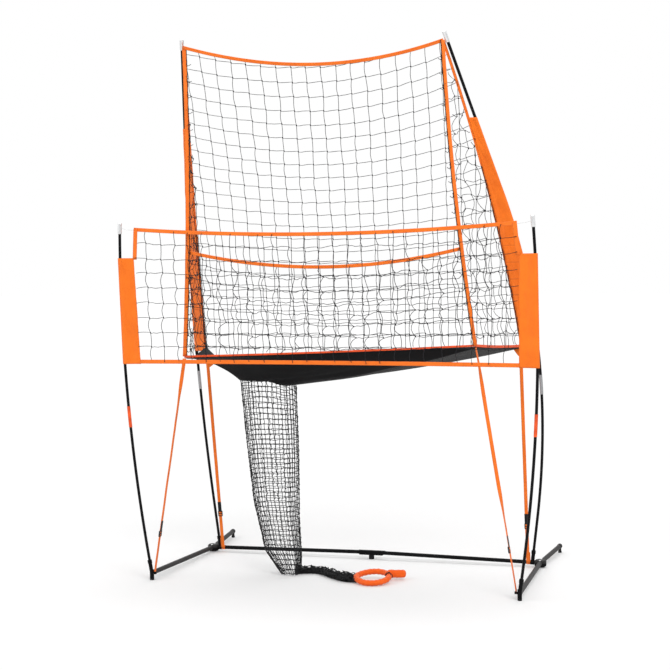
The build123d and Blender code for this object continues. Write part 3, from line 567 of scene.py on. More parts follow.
# ---------------------------------------------------------------- back net
SLOPE_LENGTH = 1.115      # net per metre of height on the leaning back net
SHEAR = 0.10              # how far its strings lean sideways per metre of height
BACK_FOOT, BACK_TALL = 1.355, 2.05      # height of its lowest strings, and its own length
BACK_MIDDLE = 0.72        # across the net to the middle of the part


def back_place(a, b, off):
    sag = TOP_SAG * smooth(b / BACK_TALL)
    x = a - BACK_MIDDLE - SHEAR * (BACK_TALL - b) / SLOPE_LENGTH
    z = BACK_FOOT + b / SLOPE_LENGTH - sag * hang((x + APEX[0]) / (2 * APEX[0]))
    slack = 0.012 * rough((x, 0, z), 2.3, 4.0)
    return Vector((x, back_y(z) + off + slack, z))


def back_inside(a, b):
    at = back_place(a, b, 0)
    return (back_x[-1](at.z) < at.x < back_x[1](at.z) and at.z < top_z(at.x)
            and at.z > rim_z(at.x, at.y))


back = Net(back_place, back_inside, CELL, 1, 0.035, 0.02)
back_mesh = back.mesh("back_net_mesh", (-0.5, 2.2), (-0.1, 2.5), STRING, KNOT)
keep(back_mesh, "back_net_mesh", "root", net_string, "net_cord", "back_net")


# --------------------------------------------------------------- side nets
SIDE_FOOT, SIDE_DEEP = 1.46, 0.72


def side_net(side):
    """Slack panel between the leaning front tape and the back edge."""
    def place(a, b, off):
        z = SIDE_FOOT + b
        share = min(1, a / SIDE_DEEP)
        front = Vector((front_x[side](z), front_y(z), z))
        rear = Vector((back_x[side](z), back_y(z), z))
        at = front + (rear - front) * (a / max(0.05, (rear - front).length))
        belly = 0.05 * math.sin(math.pi * share) * smooth(b / 1.5)
        fold = 0.022 * rough((side, a, z), 5.0, 2.0) + 0.012 * rough((side, a, z), 13.0, 5.0)
        return at + Vector((off + fold - side * belly * 0.4, 0, 0.02 * rough((a, side, z), 4.0)))

    def inside(a, b):
        z = SIDE_FOOT + b
        rear = Vector((back_x[side](z) - front_x[side](z), back_y(z) - front_y(z), 0))
        return (0 < a < rear.length and z < apex(side).z - 0.05
                and z > rim_z(side * 1.0, front_y(z) + a * 0.9))

    made = Net(place, inside, CELL, 11 + side, 0.16, 0.12)
    return made.mesh("side_net_mesh", (-0.1, 0.8), (-0.1, 1.9), STRING, KNOT)


for hand, side in SIDES.items():
    keep(side_net(side), "side_net_mesh_" + hand, "root", net_string, "net_cord", "side_net_" + hand)

# --------------------------------------------------------- lower front net
LIP_END, LIP_SAG = (0.861, 2.081), 0.099
LOWER_MIDDLE, LOWER_FOOT = 0.75, 1.40
LOWER_STRING, LOWER_KNOT = 0.0038, 0.0050


def lip_z(x):
    return LIP_END[1] - LIP_SAG * hang((x + LIP_END[0]) / (2 * LIP_END[0]))


def lower_place(a, b, off):
    x = a - LOWER_MIDDLE + 0.02 * rough((a, b, 0), 3.0, 9.0)
    sag = LIP_SAG * hang((x + LIP_END[0]) / (2 * LIP_END[0]))
    z = LOWER_FOOT + b * 0.93 - sag * smooth(b / 0.7)
    slack = 0.02 * rough((x, 1, z), 4.0, 3.0)
    return Vector((x, front_y(z) + off + abs(slack), z))


def lower_inside(a, b):
    at = lower_place(a, b, 0)
    return (front_x[-1](at.z) < at.x < front_x[1](at.z) and at.z < lip_z(at.x)
            and at.z > rim_z(at.x, RIM_FRONT[1]))


lower = Net(lower_place, lower_inside, CELL, 5, 0.13, 0.10)
lower_mesh = lower.mesh("lower_net_mesh", (-0.4, 2.0), (-0.1, 0.9), LOWER_STRING, LOWER_KNOT)
keep(lower_mesh, "lower_net_mesh", "root", net_string, "net_cord", "lower_net")


# ------------------------------------------------------------ catch tapes
TAPE_THICK = 0.004
EDGE_LENGTH = 1.85


def tape(name, centre, wide, width, length, body, stands_for, ripple=0.0):
    form = bmesh.new()
    ribbon(form, centre, wide, width, TAPE_THICK, length, max(8, int(length / 0.025)), ripple)
    return keep(finished(form, name), name, body, webbing, "webbing", *stands_for)


def top_line(t):
    x = -APEX[0] + 2 * APEX[0] * t
    z = top_z(x)
    return Vector((x, back_y(z), z))


def lip_line(t):
    x = -LIP_END[0] * (1 - 2 * t)
    return Vector((x, front_y(lip_z(x)), lip_z(x)))


tape("top_tape_webbing", top_line, lambda t: Vector((0, -0.5, 1)), 0.022, 1.63, "root", ["top_tape"])
tape("lip_tape_webbing", lip_line, lambda t: Vector((0, -front_lean, 1)), 0.020, 1.75, "root",
     ["lip_tape"])


def edge_lines(side):
    low, high = rim_corner(RIM_FRONT, side), apex(side)

    def front(t):
        z = low.z + (high.z - low.z) * t
        return Vector((front_x[side](z), front_y(z), z))

    base = rim_corner(RIM_BACK, side)

    def rear(t):
        z = base.z + (high.z - base.z) * t
        return Vector((back_x[side](z), back_y(z), z))

    return front, rear


def edge_tapes():
    """Binding down both front edges of the catch net."""
    form = bmesh.new()
    for side in SIDES.values():
        front, _ = edge_lines(side)
        width = 0.0225 - 0.0025 * side
        ribbon(form, front, lambda t: Vector((1, 0, 0)), width, TAPE_THICK, EDGE_LENGTH, 74, 0.003, side)
    return finished(form, "edge_tape_webbing")


def lacing():
    """String that whips the nets to the inner side of their bindings, with a hitch at every knot."""
    runs = []
    for side in SIDES.values():
        front, _ = edge_lines(side)
        inner = -side * (0.0140 - 0.0012 * side)
        wave = [inner + 0.002 * rough((n * 0.37, side, 0), 1.0, 3.0) for n in range(121)]
        runs.append([front(n / 120) + Vector((out, -0.002, 0)) for n, out in enumerate(wave)])
        for n in range(1, 20):
            at = front(n / 20 + 0.006 * rough((n, side, 0), 1.7)) + Vector((inner, -0.003, 0))
            hitch = ((0.004, 0, 0.016), (-0.003, -0.002, 0.004), (0.001, -0.003, -0.006),
                     (-0.004, 0, -0.022), (-0.022, 0.012, -0.012))
            runs.append([at + Vector((side * x, y, z)) for x, y, z in hitch])
    return tube_run("edge_lacing", runs, 0.0042)


def selvedge():
    """Gathered edge of the netting along the sleeves' inner seams."""
    runs = []
    for side, strands, share in ((-1, 4, 0.42), (1, 2, 0.60)):
        _, rear = edge_lines(side)
        for strand in range(strands):
            run = []
            for n in range(61):
                inward = -side * (0.003 + 0.0045 * strand) - 0.005 * rough((n * 0.31, strand, side), 1.0, 2.0)
                ahead = -0.004 - 0.003 * rough((n * 0.27, side, strand), 1.0, 5.0)
                run.append(rear(0.01 + share * n / 60) + Vector((inward, ahead, 0)))
            runs.append(run)
    return tube_run("net_selvedge", runs, 0.003)


keep(edge_tapes(), "edge_tape_webbing", "root", webbing, "webbing", "edge_tape_left", "edge_tape_right")
keep(lacing(), "edge_lacing", "root", net_string, "net_cord")
keep(selvedge(), "net_selvedge", "root", net_string, "net_cord")
for hand, side in SIDES.items():
    front, rear = edge_lines(side)
    tape("back_edge_webbing_" + hand, rear, lambda t, s=side: Vector((0.75, 0.65 * s, 0)), 0.020, 2.1,
         "root", [], ripple=0.002)


def rim_tape(name, sides):
    """Binding folded over the hopper's hem along some of its four sides."""
    corners = [rim_corner(RIM_FRONT, -1), rim_corner(RIM_FRONT, 1),
               rim_corner(RIM_BACK, 1), rim_corner(RIM_BACK, -1)]
    form = bmesh.new()
    for n in sides:
        start, end = corners[n], corners[(n + 1) % 4]
        width = 0.009 if n == 0 else 0.014
        ribbon(form, lambda t, a=start, b=end: a.lerp(b, t) - UP * 0.006 * hang(t), lambda t: UP,
               width, TAPE_THICK, (end - start).length, 60, 0.003, n)
    return finished(form, name)


keep(rim_tape("rim_binding", (0, 1, 3)), "rim_binding", "root", red_webbing, "webbing", "rim_tape")
keep(rim_tape("rim_binding_back", (2,)), "rim_binding_back", "root", black_cloth, "funnel_cloth")

# ------------------------------------------------------------------ sleeves
BEND_R = 3.580
POLE_FOOT, POLE_CORNER, POLE_TIP = (1.088, 0, 0.0307), (1.262, -0.006, 1.448), (0.814, -1.108, 3.348)
MAIN_SLEEVE_UP, MAIN_SLEEVE_TOP = 0.040, 2.851      # from this far above the rim up to this height


def pole_at(side, z):
    """Axis of a tall pole at a height: straight, a long bend, straight."""
    foot, corner, tip = [Vector((side * x, y, z)) for x, y, z in (POLE_FOOT, POLE_CORNER, POLE_TIP)]
    tip.z -= side * TIP_UNEVEN
    down, over = (foot - corner).normalized(), (tip - corner).normalized()
    half = down.angle(over) / 2
    cut = BEND_R / math.tan(half)
    first, last = corner + down * cut, corner + over * cut
    if z < first.z:
        return foot.lerp(first, (z - foot.z) / (first.z - foot.z))
    if z > last.z:
        return last.lerp(tip, (z - last.z) / (tip.z - last.z))
    centre = corner + (down + over).normalized() * (BEND_R / math.sin(half))
    low, high = 0.0, 1.0
    from_first, to_last = first - centre, last - centre
    axis, full = from_first.cross(to_last), from_first.angle(to_last)
    for _ in range(20):
        mid = (low + high) / 2
        at = centre + Matrix.Rotation(full * mid, 3, axis) @ from_first
        if at.z < z:
            low = mid
        else:
            high = mid
    return at


def teardrop(edge, pole, radius, s, crease=0.0, deep=1.0):
    """Section of a sleeve, from its seam out round the pole and back; s runs from 0 to 1."""
    out = Vector((pole.x - edge.x, pole.y - edge.y, 0))
    span = out.length
    out.normalize()
    face = out.cross(UP)
    if s < 0.42 or s > 0.58:
        t = (s if s < 0.5 else 1 - s) / 0.42
        sign = 1 if s < 0.5 else -1
        swell = 0.0012 + (radius * deep - 0.0012) * smooth((t - 0.25) / 0.75)
        return edge + out * (span * t) + face * (sign * swell + crease)
    turn = (0.5 - s) / 0.16 * math.pi
    return pole + out * (radius * math.cos(turn)) + face * (radius * deep * math.sin(turn) + crease)


def main_sleeve(hand):
    side = SIDES[hand]
    low, high = rim_corner(RIM_BACK, side).z + MAIN_SLEEVE_UP, MAIN_SLEEVE_TOP

    def place(u, v):
        z = low + (high - low) * u
        edge = Vector((back_x[side](z), back_y(z), z))
        pole = pole_at(side, z)
        pull = abs(v - 0.5) * 2
        crease = (0.006 * rough((v * 0.5, side, z), 7.0, 3.0)
                  + 0.005 * rough((v * 1.5, side, z * 2 + v), 9.0, 1.0)) * smooth(pull * 3)
        return teardrop(edge, pole, 0.0125, v, crease)

    form = bmesh.new()
    bend_grid(form, place, 110, 26, high - low, 0.32, thick=0.0012)
    return finished(form, "main_sleeve_cloth_" + hand)


for hand, side in SIDES.items():
    sleeve = keep(main_sleeve(hand), "main_sleeve_cloth_" + hand, "root", long_sleeve_cloth,
                  "sleeve_cloth", "main_sleeve_" + hand)

# ---------------------------------------------------------------- front net
NET_SLOPE, NET_FOOT_Y = 0.052348, -0.97203      # its lean in radians, and its y at the sleeves' feet
NET_HALF = 1.207
NET_TOP, NET_TOP_SAG = 2.2275, 0.046
NET_BOTTOM, NET_BOTTOM_RISE = 1.399, 0.004
FRONT_CELL = 0.0935
FRONT_MIDDLE, FRONT_TALL = 1.127, 0.83      # across the net to its middle, and its own height
FRONT_STRING, FRONT_KNOT = 0.0036, 0.0044
SIDE_TAPE_TALL = 0.184                      # height of the net's edge above the sleeve
SIDE_TAPE_FOOT, SIDE_TAPE_LONG, SIDE_TAPE_INSET = 2.040, 0.190, 0.012
SLEEVE_LOW, SLEEVE_HIGH = 1.384, 2.050
SLEEVE_TOP_X = 1.222
FRONT_NET = "front_net_body"


def net_y(z):
    return NET_FOOT_Y - (z - SLEEVE_LOW) * math.tan(NET_SLOPE)


def front_top(x):
    return NET_TOP - NET_TOP_SAG * (1 - (x / NET_HALF) ** 2)


def front_bottom(x):
    return NET_BOTTOM + NET_BOTTOM_RISE * (1 - (x / NET_HALF) ** 2)


def front_place(a, b, off):
    x = a - FRONT_MIDDLE
    z = front_bottom(x) + (front_top(x) - front_bottom(x)) * (b / FRONT_TALL)
    return Vector((x, net_y(z) + off + 0.006 * rough((x, 0, z), 3.0, 8.0), z))


def front_inside(a, b):
    return 0 < b < FRONT_TALL and abs(a - FRONT_MIDDLE) < NET_HALF


def front_tape_line(edge, height):
    """Runs along one of the front net's long edges, in the net's plane at a height."""
    return lambda t: Vector((NET_HALF * (2 * t - 1), net_y(height), edge(NET_HALF * (2 * t - 1))))


def side_tape_line(side):
    """Runs up from a sleeve to the front net's upper corner."""
    def line(t):
        x = SLEEVE_TOP_X - (SLEEVE_TOP_X - NET_HALF) * t - SIDE_TAPE_INSET
        y = net_y(SLEEVE_HIGH + SIDE_TAPE_TALL * t)
        return Vector((side * x, y, SIDE_TAPE_FOOT + SIDE_TAPE_LONG * t))
    return line


front_net = Net(front_place, front_inside, FRONT_CELL, 21, 0.07, 0.05)
front_mesh = front_net.mesh("front_net_mesh", (-0.2, 2.5), (-0.05, 0.9), FRONT_STRING, FRONT_KNOT)
keep(front_mesh, "front_net_mesh", FRONT_NET, net_string, "net_cord", "front_net")
tape("front_top_webbing", front_tape_line(front_top, 2.2), lambda t: UP, 0.022, 2.42, FRONT_NET,
     ["front_net_top_tape"])
tape("front_bottom_webbing", front_tape_line(front_bottom, 1.4), lambda t: UP, 0.024, 2.42, FRONT_NET,
     ["front_net_bottom_tape"])
for hand, side in SIDES.items():
    tape("front_side_webbing_" + hand, side_tape_line(side), lambda t: Vector((1, 0, 0)), 0.025, 0.19,
         FRONT_NET, [])


POCKET_X, POCKET_R = 1.3057, 0.0205


def front_sleeve(hand):
    """Sleeve that slides on the short pole, with a roomy pocket along its outer edge."""
    side = SIDES[hand]

    def place(u, v):
        z = SLEEVE_LOW + (SLEEVE_HIGH - SLEEVE_LOW) * u
        seam = NET_HALF - 0.004 + (SLEEVE_TOP_X - NET_HALF) * u
        edge = Vector((side * seam, net_y(z), z))
        pole = Vector((side * POCKET_X, net_y(z), z))
        pull = abs(v - 0.5) * 2
        crease = (0.004 * rough((v * 0.6, side, z), 9.0, 6.0)
                  + 0.003 * rough((v * 1.5, side, z * 2 + v), 12.0, 2.0)) * smooth(pull * 4)
        return teardrop(edge, pole, POCKET_R, v, crease, 0.68)

    form = bmesh.new()
    bend_grid(form, place, 64, 30, SLEEVE_HIGH - SLEEVE_LOW, 0.26, thick=0.0012)
    return finished(form, "front_sleeve_cloth_" + hand)


for hand, side in SIDES.items():
    sleeve = keep(front_sleeve(hand), "front_sleeve_cloth_" + hand, FRONT_NET, sleeve_cloth,
                  "sleeve_cloth", "front_sleeve_" + hand)

# ------------------------------------------------------------------- hopper
MOUTH = [rim_corner(corner, side, 0.012) for corner, side in (
    (RIM_FRONT, -1), (RIM_FRONT, 1), (RIM_BACK, 1), (RIM_BACK, -1))]
OUTLET, OUTLET_HALF = Vector((-0.510, -0.540, 1.225)), (0.175, 0.150)


def four_sided(corners, s):
    """Point round a four-sided outline; each side takes a quarter of s."""
    n = int(s * 4) % 4
    return corners[n].lerp(corners[(n + 1) % 4], s * 4 - int(s * 4))


def outlet_point(s, centre=OUTLET, half=OUTLET_HALF, square=0.62):
    """Rounded rectangle that starts at the front left corner, like the mouth."""
    turn = 2 * math.pi * s - math.pi * 0.75
    c, d = math.cos(turn), math.sin(turn)
    return centre + Vector((half[0] * math.copysign(abs(c) ** square, c),
                            half[1] * math.copysign(abs(d) ** square, d), 0))


def outlet_lift(x):
    """The outlet's edge rises towards its left side."""
    return 0.033 * (1 - smooth((x + 0.47) / 0.13))


def hopper_place(u, v):
    """Drawn taut and hollow left of the outlet, hanging in a belly on its right."""
    rim_point, low = four_sided(MOUTH, u % 1.0), outlet_point(u)
    low.z += outlet_lift(low.x)
    at = rim_point.lerp(low, v)
    slack, left = hang(v), 1 - smooth((rim_point.x + 0.75) / 0.9)
    at.z += slack * (0.038 * left - 0.026 * (1 - left) + 0.006 * rough(at, 3.0, 1.0))
    at.z += 0.006 * slack * rough((u * 9, v * 1.2, 0), 3.0, 2.0)
    return at


form = bmesh.new()
bend_grid(form, hopper_place, 200, 26, 5.0, 0.9, closed=True, thick=0.0016)
hopper = keep(finished(form, "hopper_cloth"), "hopper_cloth", "root", black_cloth, "funnel_cloth", "funnel")


def corner_patches():
    """Reinforcing triangles where the rear straps pull on the hopper."""
    form = bmesh.new()
    for side in SIDES.values():
        corner = rim_corner(RIM_BACK, side, 0.010)
        level, down = Vector((-side, -0.05, 0)), Vector((-side * 0.12, 0, -1))

        def place(u, v):
            wide = (0.082 - 0.023 * side) * (1 - 0.72 * u)
            at = corner + down * (0.050 * u) + level * (0.006 + wide * v) + Vector((0, -0.004, 0))
            return at + Vector((0, 0.003 * rough(at, 30.0), -0.006 * hang(v) * u))

        bend_grid(form, place, 8, 8, 0.05, 0.1, thick=0.002)
    return finished(form, "corner_patches")


keep(corner_patches(), "corner_patches", "root", webbing, "webbing")


GUSSET_PEAK = {-1: -0.072, 1: -0.006}      # drop of each gusset's tip below the rim's corner


def gussets():
    """Black corner gussets at the rear of the rim; the left one is pulled up its sleeve."""
    form = bmesh.new()
    for side in SIDES.values():
        corner, inward = rim_corner(RIM_BACK, side), Vector((-side * 0.012, 0, 0))
        peak = rim_corner(RIM_BACK, side, GUSSET_PEAK[side]) + Vector((-side * 0.012, -0.01, 0))
        ahead = rim_corner(RIM_FRONT, side).lerp(corner, 0.35) + inward
        across = corner + Vector((-side * 0.09, -0.012, 0))
        bend_grid(form, lambda u, v: peak.lerp(ahead.lerp(across, u), v), 8, 8, 0.3, 0.05, thick=0.0015)
    return finished(form, "corner_gussets")


keep(gussets(), "corner_gussets", "root", black_cloth, "funnel_cloth")

# -------------------------------------------------------------------- chute
CHUTE = "chute_body"
MESH = 0.031
STRAND = 0.0042
CHUTE_TOP, CHUTE_LENGTH = 1.2247, 1.218
OFF_FLOOR = 0.001
RINGS = ((1.225, -0.510, -0.540, 0.172, 0.147), (0.478, -0.468, -0.550, 0.147, 0.130),
         (0.160, -0.424, -0.560, 0.121, 0.099), (0.0, -0.368, -0.565, 0.058, 0.064))


def chute_ring(z):
    """Centre and half sizes of the chute at a height."""
    for (high, *upper), (low, *lower) in zip(RINGS, RINGS[1:]):
        if z >= low:
            t = (high - z) / (high - low)
            return [a + (b - a) * t for a, b in zip(upper, lower)]
    return list(RINGS[-1][1:])


ROUND = 34                 # squares of the netting round the chute


def chute_place(a, b, off):
    z = max(0.006, CHUTE_TOP - b)
    x, y, w, d = chute_ring(min(z, CHUTE_TOP))
    turn = a / (ROUND * MESH)
    angle = turn * 6.283
    low = smooth((1.15 - z) / 1.1)
    fold = 0.16 * low * (rough((math.cos(angle) * 1.4, math.sin(angle) * 1.4, z * 1.6), 1.0, 3.0) - 0.25)
    middle = Vector((x, y, z))
    at = outlet_point(turn, middle, (w, d), 0.7)
    at = middle + (at - middle) * (1 + fold + off * 3)
    at.z += outlet_lift(at.x) * smooth((z - 0.9) / 0.32)
    return at


def round_once(a):
    """True on the first way round, so that the last string isn't laid over the first."""
    return 0 <= a < ROUND * MESH * 0.9999


def chute_inside(a, b):
    return -0.0001 < b < CHUTE_LENGTH and round_once(a)


chute = Net(chute_place, chute_inside, MESH, 31, 0.10, 0.08)
chute_mesh = chute.mesh("chute_net_mesh", (0, (ROUND - 1) * MESH + 0.001), (0, 1.22), STRAND)
keep(chute_mesh, "chute_net_mesh", ("root", CHUTE, (-0.51, -0.54, 1.2), (-0.5, -0.54, 0.15)),
     chute_string, "chute_cord", "chute_net")

FLOOR_RUN = ((-0.345, -0.545, 0.042, 0.046), (-0.205, -0.505, 0.036, 0.038), (-0.095, -0.590, 0.044, 0.042),
             (0.030, -0.668, 0.060, 0.044), (0.112, -0.675, 0.062, 0.040))
RUN_LENGTH = 0.514


def spline(t, p, q, r, z):
    """Smooth value between q and r, with p before them and z after."""
    return q + t * ((r - p) / 2 + t * (p - 2.5 * q + 2 * r - z / 2 + t * (1.5 * (q - r) + (z - p) / 2)))


def along_run(s):
    """Centre, half width and height of the collapsed end; s runs from 0 to 1."""
    n = min(len(FLOOR_RUN) - 2, int(s * (len(FLOOR_RUN) - 1)))
    t = s * (len(FLOOR_RUN) - 1) - n
    stations = [FLOOR_RUN[max(0, min(len(FLOOR_RUN) - 1, n + k))] for k in (-1, 0, 1, 2)]
    x, y, w, h = [spline(t, *values) for values in zip(*stations)]
    return Vector((x, y, 0)), w, h


def bundle_layer(layer):
    def place(a, b, off):
        s = min(1.0, b / RUN_LENGTH)
        turn = a / (ROUND * MESH) * 2 * math.pi
        centre, w, h = along_run(s)
        ahead = (along_run(min(1.0, s + 0.01))[0] - along_run(max(0.0, s - 0.01))[0]).normalized()
        wave = math.sin(turn * 4 + 2.3 * layer + 3 * rough((s * 2, layer, 0), 1.0, 5.0))
        reach = (0.62 + 0.30 * wave) * (1 - 0.28 * layer) + 0.16 * rough((turn, s * 5, layer), 1.2, 7.0)
        z = max(0.004, h * 0.5 + h * 0.75 * reach * math.sin(turn) + off)
        return centre + ahead.cross(UP) * (w * reach * math.cos(turn)) + UP * z

    return Net(place, lambda a, b: 0 <= b < RUN_LENGTH and round_once(a), MESH, 41 + layer, 0.25, 0.3)


form = bmesh.new()
for layer in (0, 1):
    part = bundle_layer(layer).mesh("bundle", (0, (ROUND - 1) * MESH + 0.001), (0, RUN_LENGTH), STRAND)
    form.from_mesh(part)
bundle = bpy.data.meshes.new("chute_bundle_mesh")
form.to_mesh(bundle)
form.free()
keep(bundle, "chute_bundle_mesh", CHUTE, chute_string, "chute_cord", "chute_floor_net")

# --------------------------------------------------------------------- cuff
CUFF_R, CUFF_D, CUFF_TILT = 0.098, 0.036, math.radians(9)
CUFF_CENTRE = Vector((0.210, -0.675, OFF_FLOOR + 0.0185 + CUFF_R * math.sin(CUFF_TILT)))
cuff_turn = Matrix.Rotation(CUFF_TILT, 3, "X")


def cuff_place(u, v):
    turn, round_it = 2 * math.pi * u, 2 * math.pi * v
    out = Vector((math.cos(turn), math.sin(turn), 0))
    gathers = 0.05 * math.sin(turn * 22 + 2 * rough(out, 3.0))
    pinch = 1 + 0.07 * rough((out.x * 2, out.y * 2, v), 6.0, 1.0) + gathers
    radius = CUFF_D / 2 * pinch * (1 - 0.10 * smooth((math.cos(round_it - math.pi * 0.5) - 0.9) * 10))
    point = 0.010 * max(0.0, -out.x) ** 8
    at = out * (CUFF_R + point + radius * math.cos(round_it)) + UP * (radius * math.sin(round_it))
    at = CUFF_CENTRE + cuff_turn @ at
    at.z = max(OFF_FLOOR, at.z)
    return at


form = bmesh.new()
bend_grid(form, cuff_place, 132, 20, 0.6, 0.113, closed=True)
cuff = keep(finished(form, "cuff_pad"), "cuff_pad", CHUTE, cuff_cloth, "cuff_pad", "chute_cuff")


TAIL_START, TAIL_LENGTH, TAIL_TURN = Vector((0.2688, -0.577, 0.039)), 0.124, math.radians(12)


def tail_place(u, v):
    turn = 2 * math.pi * v
    body = math.sqrt(max(0.0, 1 - (2 * u - 1) ** 8))
    swell = body * (1 + 0.10 * rough((u * 4, turn, 1), 1.5, 4.0))
    y = 0.0205 * swell * math.copysign(abs(math.cos(turn)) ** 0.7, math.cos(turn))
    z = 0.0245 * swell * math.copysign(abs(math.sin(turn)) ** 0.7, math.sin(turn))
    at = Matrix.Rotation(TAIL_TURN, 3, "Z") @ Vector((TAIL_LENGTH * u, y, 0))
    return at + TAIL_START + UP * z


form = bmesh.new()
bend_grid(form, tail_place, 40, 20, 0.1, 0.12, closed=True)
tail = keep(finished(form, "cuff_tail_pad"), "cuff_tail_pad", CHUTE, cuff_cloth, "cuff_pad", "cuff_tail")


def cuff_tie():
    """Drawstring tied round the ring, with two short ends."""
    out, r = Vector((0.94, 0.34, 0)), CUFF_D / 2 + 0.002
    side = CUFF_CENTRE + cuff_turn @ (out * CUFF_R)
    loop = [side + out * (r * math.cos(t * 0.5236)) + UP * max(-0.0165, r * math.sin(t * 0.5236))
            for t in range(13)]
    ends = [[loop[3], loop[3] + Vector((dx, -0.004, 0.006)), loop[3] + Vector((2 * dx, -0.010, -0.004)),
             loop[3] + Vector((2.4 * dx, -0.016, -0.012))] for dx in (-0.008, 0.007)]
    made = tube_run("cuff_tie", [loop, [p + Vector((0.004, -0.004, 0)) for p in loop]] + ends, 0.0036)
    knots(made, [(loop[3] + UP * 0.002, Vector((1, 0, 0)))], 0.0045, 2.0)
    return made


keep(cuff_tie(), "cuff_tie", CHUTE, chute_string, "chute_cord")


# ------------------------------------------------------------------- straps
FOOT_X, BAR_R = 1.185, 0.0125
RING_TOP = (FOOT_X - 0.022, -0.925, 0.057)
REAR_LOOP = (1.062, 0.0, 0.03107)
WEB = 0.025
SEAM_LAP = 0.0125          # a strap starts this far below its corner, and a rear one as far inside it
LOOP_TOP = 0.100           # where a rear strap's loop is sewn shut, below its buckle's lowest place
STRAP_BACK = 0.0068        # behind the rim's corner, so that the strap stays in line with its buckle
TURNS = {"left": ((1.38, 1.12),), "right": ((0.78, 0.46),)}   # heights over which a front strap turns


def strap(hand, end):
    """Webbing from a rim corner down to a loop; the front ones turn a quarter to meet their ring."""
    side = SIDES[hand]
    level = Vector((1, 0, 0))
    if end == "front":
        top, hold, loop_r = rim_corner(RIM_FRONT, side, SEAM_LAP), Vector(RING_TOP), 0.0026
        hold.x *= side
        low, axis = hold, Vector((0, 1, 0))
    else:
        top = rim_corner(RIM_BACK, side, SEAM_LAP) + Vector((-side * SEAM_LAP, STRAP_BACK, 0))
        hold, loop_r = Vector((side * REAR_LOOP[0], 0, REAR_LOOP[2])), BAR_R + 0.0012
        low, axis = hold - Vector((0, loop_r, 0)), level

    def wide(t):
        if end == "rear":
            return level
        z = top.z + (low.z - top.z) * t
        share = max(smooth((high - z) / (high - down)) for high, down in TURNS[hand])
        if hand == "right":
            share = max(share, 1 - smooth((1.50 - z) / 0.40))
        return level.lerp(Vector((0.12, 1, 0)), share)

    form = bmesh.new()
    ribbon(form, lambda t: top.lerp(low, t), wide, WEB * 0.9, 0.002, (top - low).length, 120,
           0.0015, side)

    def round_bar(u, v):
        arm = Matrix.Rotation(2 * math.pi * u, 3, axis) @ Vector((0, 0, 1))
        return hold + arm * (loop_r + 0.0008) + axis * ((v - 0.5) * WEB * 0.9)

    bend_grid(form, round_bar, 40, 3, 0.1, WEB, closed=True, thick=0.0016)
    if end == "rear":
        back = Vector((side * 0.004, 0.0035, 0))
        upper = low.lerp(top, (LOOP_TOP - low.z) / (top.z - low.z))
        ribbon(form, lambda t: upper.lerp(low, t) + back, wide, WEB * 0.95, 0.002, 0.07, 10, 0.001, side)
    return finished(form, f"{end}_strap_webbing_{hand}")


for hand in SIDES:
    for end in ("front", "rear"):
        keep(strap(hand, end), f"{end}_strap_webbing_{hand}", "root", webbing, "webbing",
             f"{end}_strap_{hand}")

# ------------------------------------------------------------- corner cords
for hand, side in SIDES.items():
    start, end = Vector((side * 1.196, net_y(2.224), 2.224)), Vector((side * 1.290, -1.018, 2.236))
    run = [start.lerp(end, t / 8) - UP * 0.004 * hang(t / 8) for t in range(9)]
    cord = keep(tube_run("corner_cord_" + hand, [run], 0.003, 2), "corner_cord_" + hand, FRONT_NET,
                light_string, "light_cord", "net_corner_cords")
    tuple(run[0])

# -------------------------------------------------------------------- studio
LAMPS = (("key", (4.5, -6.0, 6.5), 4.0, 330), ("fill", (-5.5, -5.0, 4.5), 4.0, 120),
         ("over", (0.0, 1.5, 7.0), 5.0, 160))      # name, place, size and watts


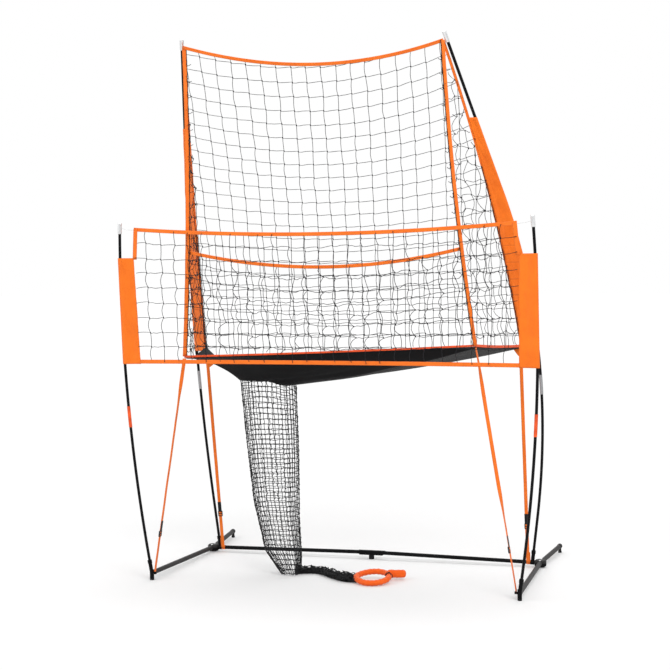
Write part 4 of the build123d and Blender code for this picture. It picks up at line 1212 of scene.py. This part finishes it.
def studio_floor():
    """Pale floor that fades to white away from the part and keeps its shadow."""
    form = bmesh.new()
    bmesh.ops.create_grid(form, x_segments=1, y_segments=1, size=40)
    floor = bpy.data.objects.new("studio_floor", finished(form, "studio_floor"))
    bpy.context.scene.collection.objects.link(floor)
    look = Finish("studio_floor", Roughness=0.9, Specular_IOR_Level=0.1)
    seen = look.node("ShaderNodeLightPath", out="Is Camera Ray")
    reach = look.node("ShaderNodeVectorMath", {"operation": "LENGTH"}, {0: look.place()}, 1)
    plain = reach.between(1.5, 3.0) * seen
    look.set("Base Color", look.mix(plain, (0.75, 0.75, 0.75), (0.0, 0.0, 0.0)))
    glow = look.mix(seen, (0.0, 0.0, 0.0), (0.12, 0.12, 0.12))
    look.set("Emission Color", look.mix(plain, glow, (1.0, 1.0, 1.0)))
    look.set("Emission Strength", 1.0)
    floor.data.materials.append(look.material)


def studio_world():
    """Soft light on the part, and plain white where the camera or a mirror sees it."""
    world = bpy.data.worlds.new("studio")
    bpy.context.scene.world = world
    world.use_nodes = True
    tree = world.node_tree
    tree.nodes.clear()
    rays = tree.nodes.new("ShaderNodeLightPath")
    plain, soft = tree.nodes.new("ShaderNodeBackground"), tree.nodes.new("ShaderNodeBackground")
    plain.inputs[0].default_value, plain.inputs[1].default_value = (1, 1, 1, 1), 1.0
    soft.inputs[0].default_value, soft.inputs[1].default_value = (1, 1, 1, 1), 0.75
    either = tree.nodes.new("ShaderNodeMath")
    either.operation = "MAXIMUM"
    blend, end = tree.nodes.new("ShaderNodeMixShader"), tree.nodes.new("ShaderNodeOutputWorld")
    tree.links.new(rays.outputs["Is Camera Ray"], either.inputs[0])
    tree.links.new(rays.outputs["Is Glossy Ray"], either.inputs[1])
    tree.links.new(either.outputs[0], blend.inputs[0])
    tree.links.new(soft.outputs[0], blend.inputs[1])
    tree.links.new(plain.outputs[0], blend.inputs[2])
    tree.links.new(blend.outputs[0], end.inputs[0])


def studio_lamps():
    for name, at, size, power in LAMPS:
        data = bpy.data.lights.new(name, "AREA")
        data.size, data.energy = size, power
        lamp = bpy.data.objects.new(name, data)
        bpy.context.scene.collection.objects.link(lamp)
        lamp.location = at
        lamp.rotation_euler = (Vector((0, -0.5, 1.4)) - lamp.location).to_track_quat("-Z", "Y").to_euler()


studio_floor()
studio_world()
studio_lamps()
bpy.context.scene.view_settings.view_transform = "Standard"
